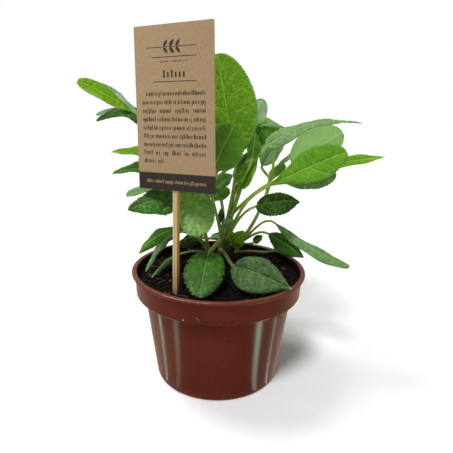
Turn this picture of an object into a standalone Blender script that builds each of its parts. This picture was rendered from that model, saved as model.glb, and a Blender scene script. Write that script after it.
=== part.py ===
"""Potted salvia.

A young sage plant in a thin plastic nursery pot, with a kraft card on a square bamboo stick.
Metres, +Z up. The origin is the centre of the pot's base, on the ground. The front is towards -Y.
"""

import math
from dataclasses import dataclass

import bmesh
import bpy
import numpy as np
from mathutils import Matrix

MM = 0.001

# Pot
POT_HEIGHT = 69.0 * MM
RIM_RADIUS = 55.0 * MM
BAND_HEIGHT = 14.5 * MM
BAND_TOP_RADIUS = 52.9 * MM
BAND_LOW_RADIUS = 52.2 * MM
BODY_TOP_RADIUS = 47.0 * MM
BASE_RADIUS = 39.0 * MM
WALL = 1.1 * MM
FLOOR_TOP = 3.2 * MM
GROOVE_HEIGHT = 1.6 * MM
DRAIN_RING = 27.3 * MM
DRAIN_RADIUS = 3.2 * MM
DRAIN_COUNT = 8
ROUND_STEPS = 48

# Soil
GAP = 0.3 * MM
SOIL_EDGE_HEIGHT = 61.2 * MM
SOIL_RISE_TO_BACK = 0.02
MOUND_HEIGHT = 5.2 * MM
MOUND_SPREAD = 19.0 * MM
MOUND_CENTRE = (3.0 * MM, 22.0 * MM)
STEM_HOLE_RADIUS = 2.5 * MM

# Card and stick
CARD_WIDTH = 50.0 * MM
CARD_HEIGHT = 90.0 * MM
CARD_THICKNESS = 0.6 * MM
CARD_CORNER = 1.0 * MM
CARD_CENTRE = (-26.0 * MM, -26.2 * MM, 168.0 * MM)
CARD_YAW = math.radians(-26.33)
CARD_SPIN = math.radians(1.64)
STICK_SIDE = 3.2 * MM
STICK_LOW = 24.0 * MM
STICK_TOP = 201.0 * MM

# Plant
BLADE_THICKNESS = 0.8 * MM
STEM_LOW_RADIUS = 1.75 * MM
STEM_TOP_RADIUS = 1.15 * MM
PETIOLE_RADIUS = 0.95 * MM
BLADE_STEPS = 13
SMALL_BLADE_STEPS = 9
TOOTH_DEPTH = 0.035


def vec(*values):
    return np.array(values, dtype=float)


def unit(v):
    v = np.asarray(v, dtype=float)
    return v / np.linalg.norm(v)


def turn(v, axis, angle):
    """Turn v about a unit axis."""
    c, s = math.cos(angle), math.sin(angle)
    return v * c + np.cross(axis, v) * s + axis * np.dot(axis, v) * (1.0 - c)


def bezier(p, t):
    t = np.asarray(t, dtype=float)[..., None]
    s = 1.0 - t
    return s**3 * p[0] + 3 * s * s * t * p[1] + 3 * s * t * t * p[2] + t**3 * p[3]


def bezier_slope(p, t):
    t = np.asarray(t, dtype=float)[..., None]
    s = 1.0 - t
    return 3 * s * s * (p[1] - p[0]) + 6 * s * t * (p[2] - p[1]) + 3 * t * t * (p[3] - p[2])


def new_object(name, mesh, colour, roughness):
    """An object with a material of its own."""
    material = bpy.data.materials.new(name)
    material.use_nodes = True
    shader = material.node_tree.nodes["Principled BSDF"]
    shader.inputs["Base Color"].default_value = (*colour, 1.0)
    shader.inputs["Roughness"].default_value = roughness
    shader.inputs["Metallic"].default_value = 0.0
    mesh.materials.clear()
    mesh.materials.append(material)
    obj = bpy.data.objects.new(name, mesh)
    bpy.context.scene.collection.objects.link(obj)
    return obj


def mesh_from(name, points, faces):
    mesh = bpy.data.meshes.new(name)
    mesh.from_pydata([tuple(float(c) for c in p) for p in points], [], [tuple(f) for f in faces])
    mesh.validate()
    mesh.update()
    return mesh


def turned(name, profile, steps):
    """Spin an (r, z) profile that starts and ends on the axis into a closed solid."""
    bm = bmesh.new()
    points = [bm.verts.new((r, 0.0, z)) for r, z in profile]
    edges = [bm.edges.new(pair) for pair in zip(points[:-1], points[1:])]
    bmesh.ops.spin(bm, geom=points + edges, cent=(0, 0, 0), axis=(0, 0, 1),
                   angle=math.tau, steps=steps, use_merge=True, use_duplicate=False)
    bmesh.ops.remove_doubles(bm, verts=bm.verts[:], dist=1e-6)
    bmesh.ops.recalc_face_normals(bm, faces=bm.faces[:])
    mesh = bpy.data.meshes.new(name)
    bm.to_mesh(mesh)
    bm.free()
    return mesh


def apply_modifiers(obj):
    """Replace the object's mesh with its evaluated one."""
    graph = bpy.context.evaluated_depsgraph_get()
    mesh = bpy.data.meshes.new_from_object(obj.evaluated_get(graph))
    old = obj.data
    obj.modifiers.clear()
    obj.data = mesh
    bpy.data.meshes.remove(old)


def cut_away(obj, cutter):
    modifier = obj.modifiers.new("Cut", "BOOLEAN")
    modifier.operation = "DIFFERENCE"
    modifier.solver = "EXACT"
    modifier.object = cutter
    apply_modifiers(obj)
    bpy.data.objects.remove(cutter, do_unlink=True)


def cutter_object(name, bm):
    mesh = bpy.data.meshes.new(name)
    bm.to_mesh(mesh)
    bm.free()
    obj = bpy.data.objects.new(name, mesh)
    obj.hide_render = True
    obj.display_type = "WIRE"
    bpy.context.scene.collection.objects.link(obj)
    return obj


def add_cylinder(bm, x, y, z_low, z_high, radius, sides):
    made = bmesh.ops.create_cone(bm, cap_ends=True, segments=sides, radius1=radius,
                                 radius2=radius, depth=z_high - z_low)
    bmesh.ops.translate(bm, verts=made["verts"], vec=(x, y, (z_low + z_high) / 2))


def make_pot():
    """Tapered body, rim band, rolled lip and a base that rests on a disc and an outer ring."""
    step = POT_HEIGHT - BAND_HEIGHT
    lip = 1.0 * MM
    top_inner = BAND_TOP_RADIUS - WALL
    profile = [
        (0.0, 0.0),
        (20.0 * MM, 0.0),
        (21.4 * MM, GROOVE_HEIGHT),
        (33.2 * MM, GROOVE_HEIGHT),
        (34.6 * MM, 0.0),
        (BASE_RADIUS - 1.3 * MM, 0.0),
        (BASE_RADIUS - 0.3 * MM, 0.4 * MM),
        (BASE_RADIUS + 0.2 * MM, 1.5 * MM),
        (BODY_TOP_RADIUS, step - 0.4 * MM),
        (BODY_TOP_RADIUS + 0.5 * MM, step),
        (BAND_LOW_RADIUS - 0.5 * MM, step),
        (BAND_LOW_RADIUS, step + 0.5 * MM),
        (BAND_TOP_RADIUS, POT_HEIGHT - 2.3 * MM),
        (RIM_RADIUS - 0.5 * MM, POT_HEIGHT - 2.1 * MM),
        (RIM_RADIUS, POT_HEIGHT - 1.6 * MM),
        (RIM_RADIUS, POT_HEIGHT - 0.5 * MM),
        (RIM_RADIUS - 0.5 * MM, POT_HEIGHT),
        (top_inner + lip * 0.6, POT_HEIGHT),
        (top_inner, POT_HEIGHT - 0.6 * MM),
        (BAND_LOW_RADIUS - WALL, step + WALL),
        (BODY_TOP_RADIUS - WALL, step + WALL - 0.3 * MM),
        (BASE_RADIUS - WALL + 0.3 * MM, FLOOR_TOP),
        (0.0, FLOOR_TOP),
    ]
    pot = new_object("pot", turned("pot", profile, ROUND_STEPS), (0.13, 0.028, 0.018), 0.35)
    bm = bmesh.new()
    for k in range(DRAIN_COUNT):
        a = math.tau * (k + 0.5) / DRAIN_COUNT
        add_cylinder(bm, DRAIN_RING * math.cos(a), DRAIN_RING * math.sin(a),
                     -2.0 * MM, 8.0 * MM, DRAIN_RADIUS, 10)
    cut_away(pot, cutter_object("drain_cutter", bm))
    pot.data.shade_smooth()
    pot.data.set_sharp_from_angle(angle=math.radians(40))
    return pot


def soil_height(x, y):
    """Top of the soil: a low mound under the stems and shallow lumps that fade at the pot's wall."""
    dx, dy = x - MOUND_CENTRE[0], y - MOUND_CENTRE[1]
    mound = MOUND_HEIGHT * math.exp(-(dx * dx + dy * dy) / (2 * MOUND_SPREAD**2))
    u, v = x / MM, y / MM
    lumps = 0.55 * math.sin(0.31 * u + 0.12 * v + 0.6) * math.sin(0.27 * v - 0.08 * u + 1.9)
    lumps += 0.3 * math.sin(0.63 * u - 0.41 * v + 2.2) + 0.25 * math.sin(0.52 * v + 0.47 * u)
    fade = max(0.0, min(1.0, (50.0 - math.hypot(u, v)) / 12.0))
    return SOIL_EDGE_HEIGHT + SOIL_RISE_TO_BACK * y + mound + lumps * fade * MM


def make_soil():
    """The filling: a lumpy top, a shoulder at the band's step and a tapered plug below it."""
    step = POT_HEIGHT - BAND_HEIGHT
    rim = BAND_LOW_RADIUS - WALL - GAP
    rings = [6.0, 12.0, 18.0, 24.0, 30.0, 36.0, 41.0, 45.0, 48.5]
    rings = [r * MM for r in rings] + [rim]
    side = [
        (rim, step + WALL + GAP),
        (BODY_TOP_RADIUS - WALL - GAP - 0.1 * MM, step + WALL),
        (BASE_RADIUS - WALL - GAP, FLOOR_TOP + GAP),
    ]
    steps = ROUND_STEPS
    points = [(0.0, 0.0, soil_height(0.0, 0.0))]
    for r in rings:
        for j in range(steps):
            a = math.tau * j / steps
            x, y = r * math.cos(a), r * math.sin(a)
            points.append((x, y, soil_height(x, y)))
    for r, z in side:
        for j in range(steps):
            a = math.tau * j / steps
            points.append((r * math.cos(a), r * math.sin(a), z))
    points.append((0.0, 0.0, FLOOR_TOP + GAP))
    count = len(rings) + len(side)
    faces = []
    for j in range(steps):
        k = (j + 1) % steps
        faces.append((0, 1 + j, 1 + k))
        last = 1 + (count - 1) * steps
        faces.append((len(points) - 1, last + k, last + j))
        for i in range(count - 1):
            a, b = 1 + i * steps + j, 1 + i * steps + k
            faces.append((a, a + steps, b + steps))
            faces.append((a, b + steps, b))
    soil = new_object("soil", mesh_from("soil", points, faces), (0.012, 0.009, 0.007), 0.95)
    bm = bmesh.new()
    for stem in STEMS.values():
        x, y, z = stem[0]
        add_cylinder(bm, x * MM, y * MM, (z - 1.0) * MM, 80.0 * MM, STEM_HOLE_RADIUS, 12)
    cut_away(soil, cutter_object("stem_hole_cutter", bm))
    bm = bmesh.new()
    side = STICK_SIDE + 2 * GAP
    made = bmesh.ops.create_cube(bm, size=1.0)
    bmesh.ops.scale(bm, verts=made["verts"], vec=(side, side, 80.0 * MM - STICK_LOW + GAP))
    bmesh.ops.rotate(bm, verts=made["verts"], cent=(0, 0, 0), matrix=Matrix.Rotation(CARD_YAW, 3, "Z"))
    x, y = stick_place()
    middle = (80.0 * MM + STICK_LOW - GAP) / 2
    bmesh.ops.translate(bm, verts=made["verts"], vec=(x, y, middle))
    cut_away(soil, cutter_object("stick_hole_cutter", bm))
    return soil


def stick_place():
    """The stick's axis: behind the card by half of each thickness and a gap."""
    back = CARD_THICKNESS / 2 + GAP + STICK_SIDE / 2
    x = CARD_CENTRE[0] + back * -math.sin(CARD_YAW)
    y = CARD_CENTRE[1] + back * math.cos(CARD_YAW)
    return x, y


def make_card():
    bm = bmesh.new()
    made = bmesh.ops.create_cube(bm, size=1.0)
    bmesh.ops.scale(bm, verts=made["verts"], vec=(CARD_WIDTH, CARD_THICKNESS, CARD_HEIGHT))
    corners = [e for e in bm.edges if abs(e.verts[0].co.y - e.verts[1].co.y) > CARD_THICKNESS / 2]
    bmesh.ops.bevel(bm, geom=corners, offset=CARD_CORNER, offset_type="OFFSET", segments=3,
                    profile=0.5, affect="EDGES")
    mesh = bpy.data.meshes.new("tag_card")
    bm.to_mesh(mesh)
    bm.free()
    card = new_object("tag_card", mesh, (0.44, 0.30, 0.17), 0.85)
    card.rotation_euler = (0.0, -CARD_SPIN, CARD_YAW)
    card.location = CARD_CENTRE
    return card


def make_stick():
    bm = bmesh.new()
    made = bmesh.ops.create_cube(bm, size=1.0)
    length = STICK_TOP - STICK_LOW
    bmesh.ops.scale(bm, verts=made["verts"], vec=(STICK_SIDE, STICK_SIDE, length))
    uprights = [e for e in bm.edges if abs(e.verts[0].co.z - e.verts[1].co.z) > length / 2]
    bmesh.ops.bevel(bm, geom=uprights, offset=0.2 * MM, offset_type="OFFSET", segments=1,
                    profile=0.5, affect="EDGES")
    mesh = bpy.data.meshes.new("tag_stick")
    bm.to_mesh(mesh)
    bm.free()
    stick = new_object("tag_stick", mesh, (0.62, 0.42, 0.20), 0.6)
    x, y = stick_place()
    stick.rotation_euler = (0.0, 0.0, CARD_YAW)
    stick.location = (x, y, (STICK_LOW + STICK_TOP) / 2)
    return stick


# Stems: points in mm, from inside their holes in the soil to the tip of the shoot
STEMS = {
    "shoot_main": [(0, 25.5, 57), (0, 25, 67), (2, 21.5, 79), (5, 17, 96), (8, 14, 114),
                   (9, 12, 124)],
    "shoot_right": [(12, 35, 57), (12.5, 34.5, 66), (16, 33, 76), (24, 30, 91), (31, 27, 109),
                    (35, 25, 124)],
    "shoot_left": [(-7, 24, 57), (-7, 24, 67), (-8.5, 20.5, 78), (-11, 17, 95), (-15, 12, 122),
                   (-17, 10, 140)],
    "shoot_back": [(2, 38, 57), (2.3, 38.5, 67), (3, 41, 78), (2, 43, 96), (-2, 44, 116),
                   (-5, 45, 132)],
}


@dataclass
class Leaf:
    """One leaf. Lengths in mm, angles in degrees.

    at: where the petiole leaves the stem, counted in stem points.
    base, tip: ends of the blade.
    face: heading and height of the direction that the upper side faces; heading 0 is the front.
    bow: how far the midrib's two inner points stand off along the blade's normal, and sideways.
    cup: how steeply the halves fold up, or down if negative.
    twist: turn of the blade from its base to its tip.
    form: outline, see FORMS.
    wave: height, count and start of the waves along the edge.
    """

    name: str
    at: float
    base: tuple
    tip: tuple
    width: float
    face: tuple
    bow: tuple = (0, 0, 0)
    cup: float = 15
    twist: float = 0
    form: str = "ovate"
    wave: tuple = (0.8, 2.0, 0.0)


# Outlines: place of the widest point, bluntness at the base and at the tip
FORMS = {
    "ovate": (0.40, 0.62, 0.72),
    "oblong": (0.50, 0.60, 0.62),
    "spoon": (0.62, 0.95, 0.55),
    "lance": (0.45, 0.80, 0.90),
    "round": (0.47, 0.50, 0.50),
    "broad": (0.34, 0.50, 0.80),
}

LEAVES = {
    "shoot_left": [
        Leaf("far_left_high", 4.6, (-40, 1, 163), (-84, -8, 183), 14, (-20, 45), (3, 5, 0), 18,
             -40, "oblong"),
        Leaf("far_left_curled", 4.3, (-34, 12, 150), (-77, 5, 161), 17, (-10, 65), (9, 20, 0),
             -20, 20, "oblong"),
        Leaf("left_upper_slip", 3.9, (-36, 8, 139), (-66, -5, 142), 13, (-15, 70), (2, 3, 0),
             15, 0, "lance"),
        Leaf("left_lower_slip", 3.6, (-38, 22, 127), (-72, 20, 125), 16, (-10, 65), (5, 5, 0),
             12, 0, "lance"),
        Leaf("left_pale", 3.3, (-30, 10, 115), (-59, 0, 115), 15, (-20, 70), (4, 3, 0), 20, 0,
             "oblong"),
        Leaf("left_large", 3.5, (-24, -4, 117), (-53, -18, 110), 24, (-10, 45), (5, 5, 0), -12,
             0, "ovate"),
        Leaf("hanging", 3.4, (-16.5, -6, 124), (-11.5, -24, 96), 26, (5, 25), (4, 3, 0), -14, 0,
             "ovate"),
        Leaf("left_arching", 2.0, (-24, 22, 88), (-53, 10, 73), 14, (-10, 60), (7, 9, 0), -15,
             0, "lance"),
        Leaf("left_low", 1.9, (-28, 6, 89), (-45, -12, 69), 11, (-40, 25), (6, 5, 0), -20, 0,
             "oblong"),
        Leaf("left_lowest", 1.8, (-22, -1, 80), (-41, -14, 67), 9, (-50, 30), (3, 3, 0), -15, 0,
             "oblong"),
        Leaf("left_bud", 3.2, (-20, 2, 116), (-28, 8, 120), 8, (0, 45), (1, 1, 0)),
        Leaf("rear_left_low", 2.6, (-28, 34, 105), (-56, 44, 103), 18, (180, 65), (4, 3, 0),
             -10),
        Leaf("top_front", 5.0, (-25, 8, 152), (-31, 16, 190), 20, (-10, 15), (2, 3, 0), 8),
        Leaf("top_rear", 4.9, (-30, 18, 148), (-40, 36, 172), 20, (160, 35), (2, 3, 0), 8, 0,
             "oblong"),
    ],
    "shoot_main": [
        Leaf("front_facing", 2.0, (-6, -1, 78), (-10, -38, 64.6), 23, (0, 60), (6, 3, 0), -8,
             0, "ovate", (0.9, 3, 0)),
        Leaf("front_right", 1.9, (11, 2, 68.2), (41.6, -28.6, 65.4), 28, (-5, 66), (3, 3, 4), 10, 0,
             "broad"),
        Leaf("right_hooked", 2.3, (23, 5, 107), (49, 4, 107), 15, (10, 50), (5, 7, 0), 20, 0,
             "oblong"),
        Leaf("right_spoon", 2.4, (27, -1, 118), (75, -8, 145), 20, (20, 35), (3, 3, 0), 8, 0,
             "spoon"),
        Leaf("right_long", 3.0, (29, 6, 144), (85, 0, 162), 13, (15, 35), (4, 4, -7), -8, 40,
             "broad"),
        Leaf("tall", 4.0, (11.5, 8, 137), (-2.5, 12, 201), 34, (0, 10), (0, 2, 0), 8, 0,
             "round"),
        Leaf("tall_front", 3.9, (-5, -2, 134), (13, -6, 157), 24, (-5, 15), (2, 2, 0), -5, 0,
             "round"),
        Leaf("middle", 3.2, (13, 10, 117), (22, 5, 140), 18, (-30, 20), (2, 2, 0), 20),
        Leaf("middle_small", 4.2, (19, 10, 138), (20, 10, 156), 8, (20, 10), (1, 1, 0)),
        Leaf("right_below", 3.0, (46, 15, 124), (73, 5, 131), 18, (5, 20), (2, 2, 0), -12, 0,
             "oblong"),
        Leaf("young_low", 1.8, (9, 20, 79), (15, 17, 87), 8, (10, 20), (1, 1, 0), 10),
        Leaf("young_high", 2.2, (1, 12, 93), (9, 11, 97), 7, (10, 50), (1, 2, 0), -20, 0,
             "oblong"),
    ],
    "shoot_right": [
        Leaf("right_trailing", 2.0, (37, 12, 95), (82, -8, 73), 10, (20, 50), (-5, -4, 0), -20,
             0, "spoon"),
        Leaf("right_dark", 1.9, (33, 14, 87), (56, 8, 73), 13, (-10, 35), (3, 3, 0), -15, 0,
             "lance"),
        Leaf("right_flat", 1.6, (38, 24, 73.5), (58, 22, 76), 9, (0, 70), (1, 1, 0), 10),
        Leaf("right_tiny", 1.7, (25, 36, 74), (31, 36, 79), 6, (0, 40)),
        Leaf("far_right", 4.6, (66, 18, 132), (108, 18, 140), 12, (0, 45), (2, 1, 0), 12, 0,
             "lance"),
        Leaf("right_turned_away", 4.9, (48, 32, 131), (83, 40, 155), 31, (180, 12), (3, 3, 0),
             8, 0, "round"),
        Leaf("centre_turned_away", 4.8, (28, 30, 126), (43, 40, 144), 18, (180, 30), (2, 2, 0),
             8),
        Leaf("right_bud", 4.2, (36, 20, 127), (43, 20, 133), 7, (10, 30)),
        Leaf("rear_right", 4.0, (37, 50, 120), (66, 72, 138), 22, (150, 50), (4, 3, 0), 8, 0,
             "oblong"),
    ],
    "shoot_back": [
        Leaf("behind_tall", 4.9, (21.5, 35, 154), (28, 40, 174), 14, (180, 20), (1, 1, 0), 8, 0,
             "round"),
        Leaf("behind_middle", 4.6, (17, 24, 146), (42, 22, 155), 13, (-10, 35), (4, 5, 0), -15),
        Leaf("behind_bright", 4.4, (22, 28, 140), (42, 28, 154), 14, (10, 40), (2, 2, 0), 8),
        Leaf("behind_low", 3.5, (1, 30, 106), (-3, 40, 115), 16, (0, 30), (1, 1, 0), 8),
        Leaf("behind_card_edge", 3.8, (-2, 32, 115), (8, 28, 124), 12, (0, 30), (1, 1, 0), 8),
        Leaf("back_left_lying", 1.6, (-12, 32, 78), (-30, 40, 70), 16, (-20, 60), (5, 3, 0),
             -10),
        Leaf("rear_drooping", 2.2, (6, 57, 79), (4, 86, 57), 24, (180, 60), (8, 6, 0), -10),
        Leaf("rear_middle", 3.4, (-12, 54, 98), (-30, 80, 105), 20, (195, 60), (5, 4, 0), 8),
        Leaf("rear_right_high", 4.2, (28, 60, 136), (56, 82, 150), 20, (160, 45), (4, 4, 0), 8,
             0, "oblong"),
        Leaf("rear_tall", 5.0, (0, 55, 132), (6, 66, 178), 28, (180, 35), (2, 3, 0), 10),
        Leaf("rear_left", 4.8, (-22, 48, 126), (-46, 68, 148), 24, (210, 45), (4, 3, 0), 10, 0,
             "oblong"),
    ],
}


def midrib_curve(leaf):
    """Bezier points of the midrib, the chord and the direction that the upper side faces."""
    base, tip = vec(*leaf.base) * MM, vec(*leaf.tip) * MM
    heading, height = (math.radians(a) for a in leaf.face)
    face = vec(math.sin(heading) * math.cos(height), -math.cos(heading) * math.cos(height),
               math.sin(height))
    chord = unit(tip - base)
    side = unit(np.cross(chord, face))
    normal = np.cross(side, chord)
    near, far, across = (b * MM for b in leaf.bow)
    points = [base, base + (tip - base) / 3 + normal * near + side * across,
              base + (tip - base) * 2 / 3 + normal * far + side * across, tip]
    return points, chord, face


def blade_frame(leaf, u):
    """Midrib points with the side and normal directions at each station u."""
    points, chord, face = midrib_curve(leaf)
    middle = bezier(points, u)
    slope = bezier_slope(points, u)
    slope /= np.linalg.norm(slope, axis=-1, keepdims=True)
    sides, normals = [], []
    for along, tangent in zip(u, slope):
        up = turn(face, chord, math.radians(leaf.twist) * (along - 0.5))
        side = unit(np.cross(tangent, up))
        sides.append(side)
        normals.append(np.cross(side, tangent))
    return middle, slope, np.array(sides), np.array(normals)


def half_width(leaf, u):
    """Half width of the outline, with blunt teeth made by every second station."""
    peak, base_power, tip_power = FORMS[leaf.form]
    u = np.clip(u, 0.02, 0.985)
    power = base_power * (1 - u) + tip_power * u
    shape = np.sin(math.pi * u ** (math.log(0.5) / math.log(peak))) ** power
    teeth = 1.0 + TOOTH_DEPTH * np.where(np.arange(len(u)) % 2 == 0, -1.0, 1.0)
    return leaf.width * MM / 2 * shape * teeth


def make_blade(leaf):
    """The blade: folded along its midrib, waved at its edges, with the same split on both faces."""
    n = BLADE_STEPS if leaf.width > 10 else SMALL_BLADE_STEPS
    u = np.linspace(0.0, 1.0, n)
    middle, _, sides, normals = blade_frame(leaf, u)
    half = half_width(leaf, u)
    fold = math.radians(leaf.cup)
    height, count, start = leaf.wave
    upper, lower = [], []
    for v in (-1.0, 0.0, 1.0):
        phase = start + (1.9 if v > 0 else 0.0)
        wave = height * MM * np.sin(math.tau * count * u + phase) * np.sin(math.pi * u)
        lift = abs(v) * (half * math.sin(fold) + wave)
        row = middle + sides * (half * v * math.cos(fold))[:, None] + normals * lift[:, None]
        upper.extend(row + normals * BLADE_THICKNESS / 2)
        lower.extend(row - normals * BLADE_THICKNESS / 2)
    under = 3 * n
    faces = []
    for j in range(2):
        for i in range(n - 1):
            a, b, c, d = j * n + i, (j + 1) * n + i, (j + 1) * n + i + 1, j * n + i + 1
            faces += [(a, b, c), (a, c, d)]
            faces += [(under + a, under + c, under + b), (under + a, under + d, under + c)]
    for i in range(n - 1):
        a, b = i, i + 1
        faces += [(a, b, under + b), (a, under + b, under + a)]
        a, b = 2 * n + i + 1, 2 * n + i
        faces += [(a, b, under + b), (a, under + b, under + a)]
    for j in range(2):
        a, b = (j + 1) * n, j * n
        faces += [(a, b, under + b), (a, under + b, under + a)]
        a, b = j * n + n - 1, (j + 1) * n + n - 1
        faces += [(a, b, under + b), (a, under + b, under + a)]
    return upper + lower, faces


def make_tube(points, radii, sides):
    """A closed tube along the points, its section carried along without twisting."""
    points = np.array(points)
    tangents = np.gradient(points, axis=0)
    tangents /= np.linalg.norm(tangents, axis=1, keepdims=True)
    across = unit(np.cross(tangents[0], vec(0.3, 0.9, 0.1)))
    verts, faces = [], []
    for p, t, r in zip(points, tangents, radii):
        across = unit(across - t * np.dot(across, t))
        other = np.cross(t, across)
        for j in range(sides):
            a = math.tau * j / sides
            verts.append(p + r * (across * math.cos(a) + other * math.sin(a)))
    last = (len(points) - 1) * sides
    for i in range(len(points) - 1):
        for j in range(sides):
            a, b = i * sides + j, i * sides + (j + 1) % sides
            faces += [(a, b, b + sides), (a, b + sides, a + sides)]
    verts += [points[0], points[-1]]
    for j in range(sides):
        k = (j + 1) % sides
        faces.append((len(verts) - 2, k, j))
        faces.append((len(verts) - 1, last + j, last + k))
    return verts, faces


def stem_point(stem, at):
    """A smooth curve through the stem's points; at counts points from the lowest."""
    p = [vec(*q) * MM for q in stem]
    last = len(p) - 1
    i = min(int(at), last - 1)
    t = at - i
    before = p[i - 1] if i > 0 else 2 * p[0] - p[1]
    after = p[i + 2] if i + 2 <= last else 2 * p[last] - p[last - 1]
    a, b = p[i], p[i + 1]
    return 0.5 * (2 * a + (b - before) * t + (2 * before - 5 * a + 4 * b - after) * t * t
                  + (3 * a - before - 3 * b + after) * t**3)


def make_petiole(leaf, stem):
    """The leaf's stalk: out of the stem and, thinning, into the base of the blade."""
    at = min(leaf.at, len(stem) - 1.01)
    root = stem_point(stem, at)
    ahead = unit(stem_point(stem, min(at + 0.15, len(stem) - 1)) - root)
    middle, slope, _, _ = blade_frame(leaf, np.linspace(0.0, 0.07, 2))
    base = middle[0]
    span = np.linalg.norm(base - root)
    leave = unit(ahead * 0.7 + unit(base - root) * 0.6)
    curve = [root, root + leave * span * 0.4, base - slope[0] * span * 0.35, base]
    points = list(bezier(curve, np.linspace(0.0, 1.0, 6))) + [middle[1]]
    radii = [PETIOLE_RADIUS] * 5 + [0.6 * MM, 0.3 * MM]
    return make_tube(points, radii, 4)


def make_shoot(name):
    """One leafy stem: stem, petioles and blades joined into one closed body."""
    stem = STEMS[name]
    at = np.linspace(0.0, len(stem) - 1, 11)
    points = [stem_point(stem, a) for a in at]
    radii = np.linspace(STEM_LOW_RADIUS, STEM_TOP_RADIUS, len(at))
    shoot = new_object(name, mesh_from(name, *make_tube(points, radii, 6)), (0.10, 0.24, 0.035),
                       0.6)
    group = bpy.data.collections.new(name + "_leaves")
    bpy.context.scene.collection.children.link(group)
    for leaf in LEAVES[name]:
        for part, (verts, faces) in (("blade", make_blade(leaf)),
                                     ("petiole", make_petiole(leaf, stem))):
            mesh = mesh_from(leaf.name + "_" + part, verts, faces)
            group.objects.link(bpy.data.objects.new(leaf.name + "_" + part, mesh))
    modifier = shoot.modifiers.new("Join", "BOOLEAN")
    modifier.operation = "UNION"
    modifier.solver = "MANIFOLD"
    modifier.operand_type = "COLLECTION"
    modifier.collection = group
    apply_modifiers(shoot)
    for piece in list(group.objects):
        bpy.data.objects.remove(piece, do_unlink=True)
    bpy.data.collections.remove(group)
    keep_largest(shoot)
    return shoot


def keep_largest(obj):
    """Drop loose scrap and sealed hollows, which a union can leave behind."""
    bm = bmesh.new()
    bm.from_mesh(obj.data)
    bmesh.ops.remove_doubles(bm, verts=bm.verts[:], dist=2e-7)
    seen, shells = set(), []
    for start in bm.faces:
        if start in seen:
            continue
        seen.add(start)
        shell, queue = [], [start]
        while queue:
            face = queue.pop()
            shell.append(face)
            for edge in face.edges:
                for other in edge.link_faces:
                    if other not in seen:
                        seen.add(other)
                        queue.append(other)
        shells.append(shell)
    shells.sort(key=len)
    scrap = [face for shell in shells[:-1] for face in shell]
    bmesh.ops.delete(bm, geom=scrap, context="FACES")
    bm.to_mesh(obj.data)
    bm.free()


def main():
    for obj in list(bpy.data.objects):
        bpy.data.objects.remove(obj, do_unlink=True)
    make_pot()
    make_soil()
    make_card()
    make_stick()
    for name in STEMS:
        make_shoot(name)


main()
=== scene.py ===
import functools
import math
import random
from dataclasses import dataclass

import bpy
import numpy as np
from bpy.props import FloatProperty, FloatVectorProperty, IntProperty, PointerProperty
from mathutils import Matrix, Vector, noise


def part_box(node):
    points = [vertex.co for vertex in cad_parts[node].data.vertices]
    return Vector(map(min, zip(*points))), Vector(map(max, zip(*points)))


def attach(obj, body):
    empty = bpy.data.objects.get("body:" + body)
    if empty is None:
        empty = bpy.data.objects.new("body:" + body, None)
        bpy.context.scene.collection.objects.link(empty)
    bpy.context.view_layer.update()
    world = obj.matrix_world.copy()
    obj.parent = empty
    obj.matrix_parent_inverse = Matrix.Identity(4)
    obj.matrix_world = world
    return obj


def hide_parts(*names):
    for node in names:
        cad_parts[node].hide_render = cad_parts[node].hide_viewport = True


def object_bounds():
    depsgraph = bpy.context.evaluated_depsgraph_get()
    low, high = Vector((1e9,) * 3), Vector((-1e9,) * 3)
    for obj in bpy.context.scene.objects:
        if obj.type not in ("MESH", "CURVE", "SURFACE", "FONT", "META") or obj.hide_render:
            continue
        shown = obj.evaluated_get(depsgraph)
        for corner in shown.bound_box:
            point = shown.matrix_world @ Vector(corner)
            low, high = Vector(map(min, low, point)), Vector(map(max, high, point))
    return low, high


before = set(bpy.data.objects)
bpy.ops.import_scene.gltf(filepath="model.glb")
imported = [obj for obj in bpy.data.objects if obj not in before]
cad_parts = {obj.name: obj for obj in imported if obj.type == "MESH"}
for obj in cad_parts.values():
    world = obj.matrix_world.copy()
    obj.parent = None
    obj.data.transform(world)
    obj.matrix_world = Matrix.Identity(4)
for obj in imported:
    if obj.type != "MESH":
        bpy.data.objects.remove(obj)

bl_info = {
    "name": "Potted salvia",
    "version": (1, 0, 0),
    "blender": (4, 5, 0),
    "location": "3D Viewport > Sidebar > Salvia",
    "description": "A young sage plant in a nursery pot, with a kraft card on a stick",
    "category": "Object",
}

MM = 0.001
PER_MM = 1000.0
BODY = "root"
CAD_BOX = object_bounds()
POT_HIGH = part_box("pot")[1]
STICK_LOW, STICK_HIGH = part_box("tag_stick")
STICK_X, STICK_Y, STICK_Z = ((a + b) / 2 for a, b in zip(STICK_LOW, STICK_HIGH))
CARD_TURN = Matrix.Rotation(math.radians(-26.33), 4, "Z")
CARD_PLACE = (Matrix.Translation((-26.0 * MM, -26.2 * MM, 168.0 * MM)) @ CARD_TURN
              @ Matrix.Rotation(math.radians(-1.64), 4, "Y"))
CAMERA_YAW, CAMERA_PITCH, CAMERA_ROLL = (math.radians(a) for a in (0.806, 10.693, 1.303))
CAMERA_SHIFT = -0.0837
FLOOR_Z = -0.1 * MM


def linear(code):
    """An sRGB hex colour as linear RGBA."""
    values = [int(code[i:i + 2], 16) / 255.0 for i in (1, 3, 5)]
    values = [c / 12.92 if c <= 0.04045 else ((c + 0.055) / 1.055) ** 2.4 for c in values]
    return (*values, 1.0)


# ---------------------------------------------------------------- settings


def number(name, text, default, **more):
    return FloatProperty(name=name, description=text, default=default, min=0.0, **more)


def length(name, text, default):
    return number(name, text, default, unit="LENGTH", subtype="DISTANCE", precision=5)


def colour(name, text, code):
    return FloatVectorProperty(name=name, description=text, default=linear(code), size=4,
                               min=0.0, max=1.0, subtype="COLOR")


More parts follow.
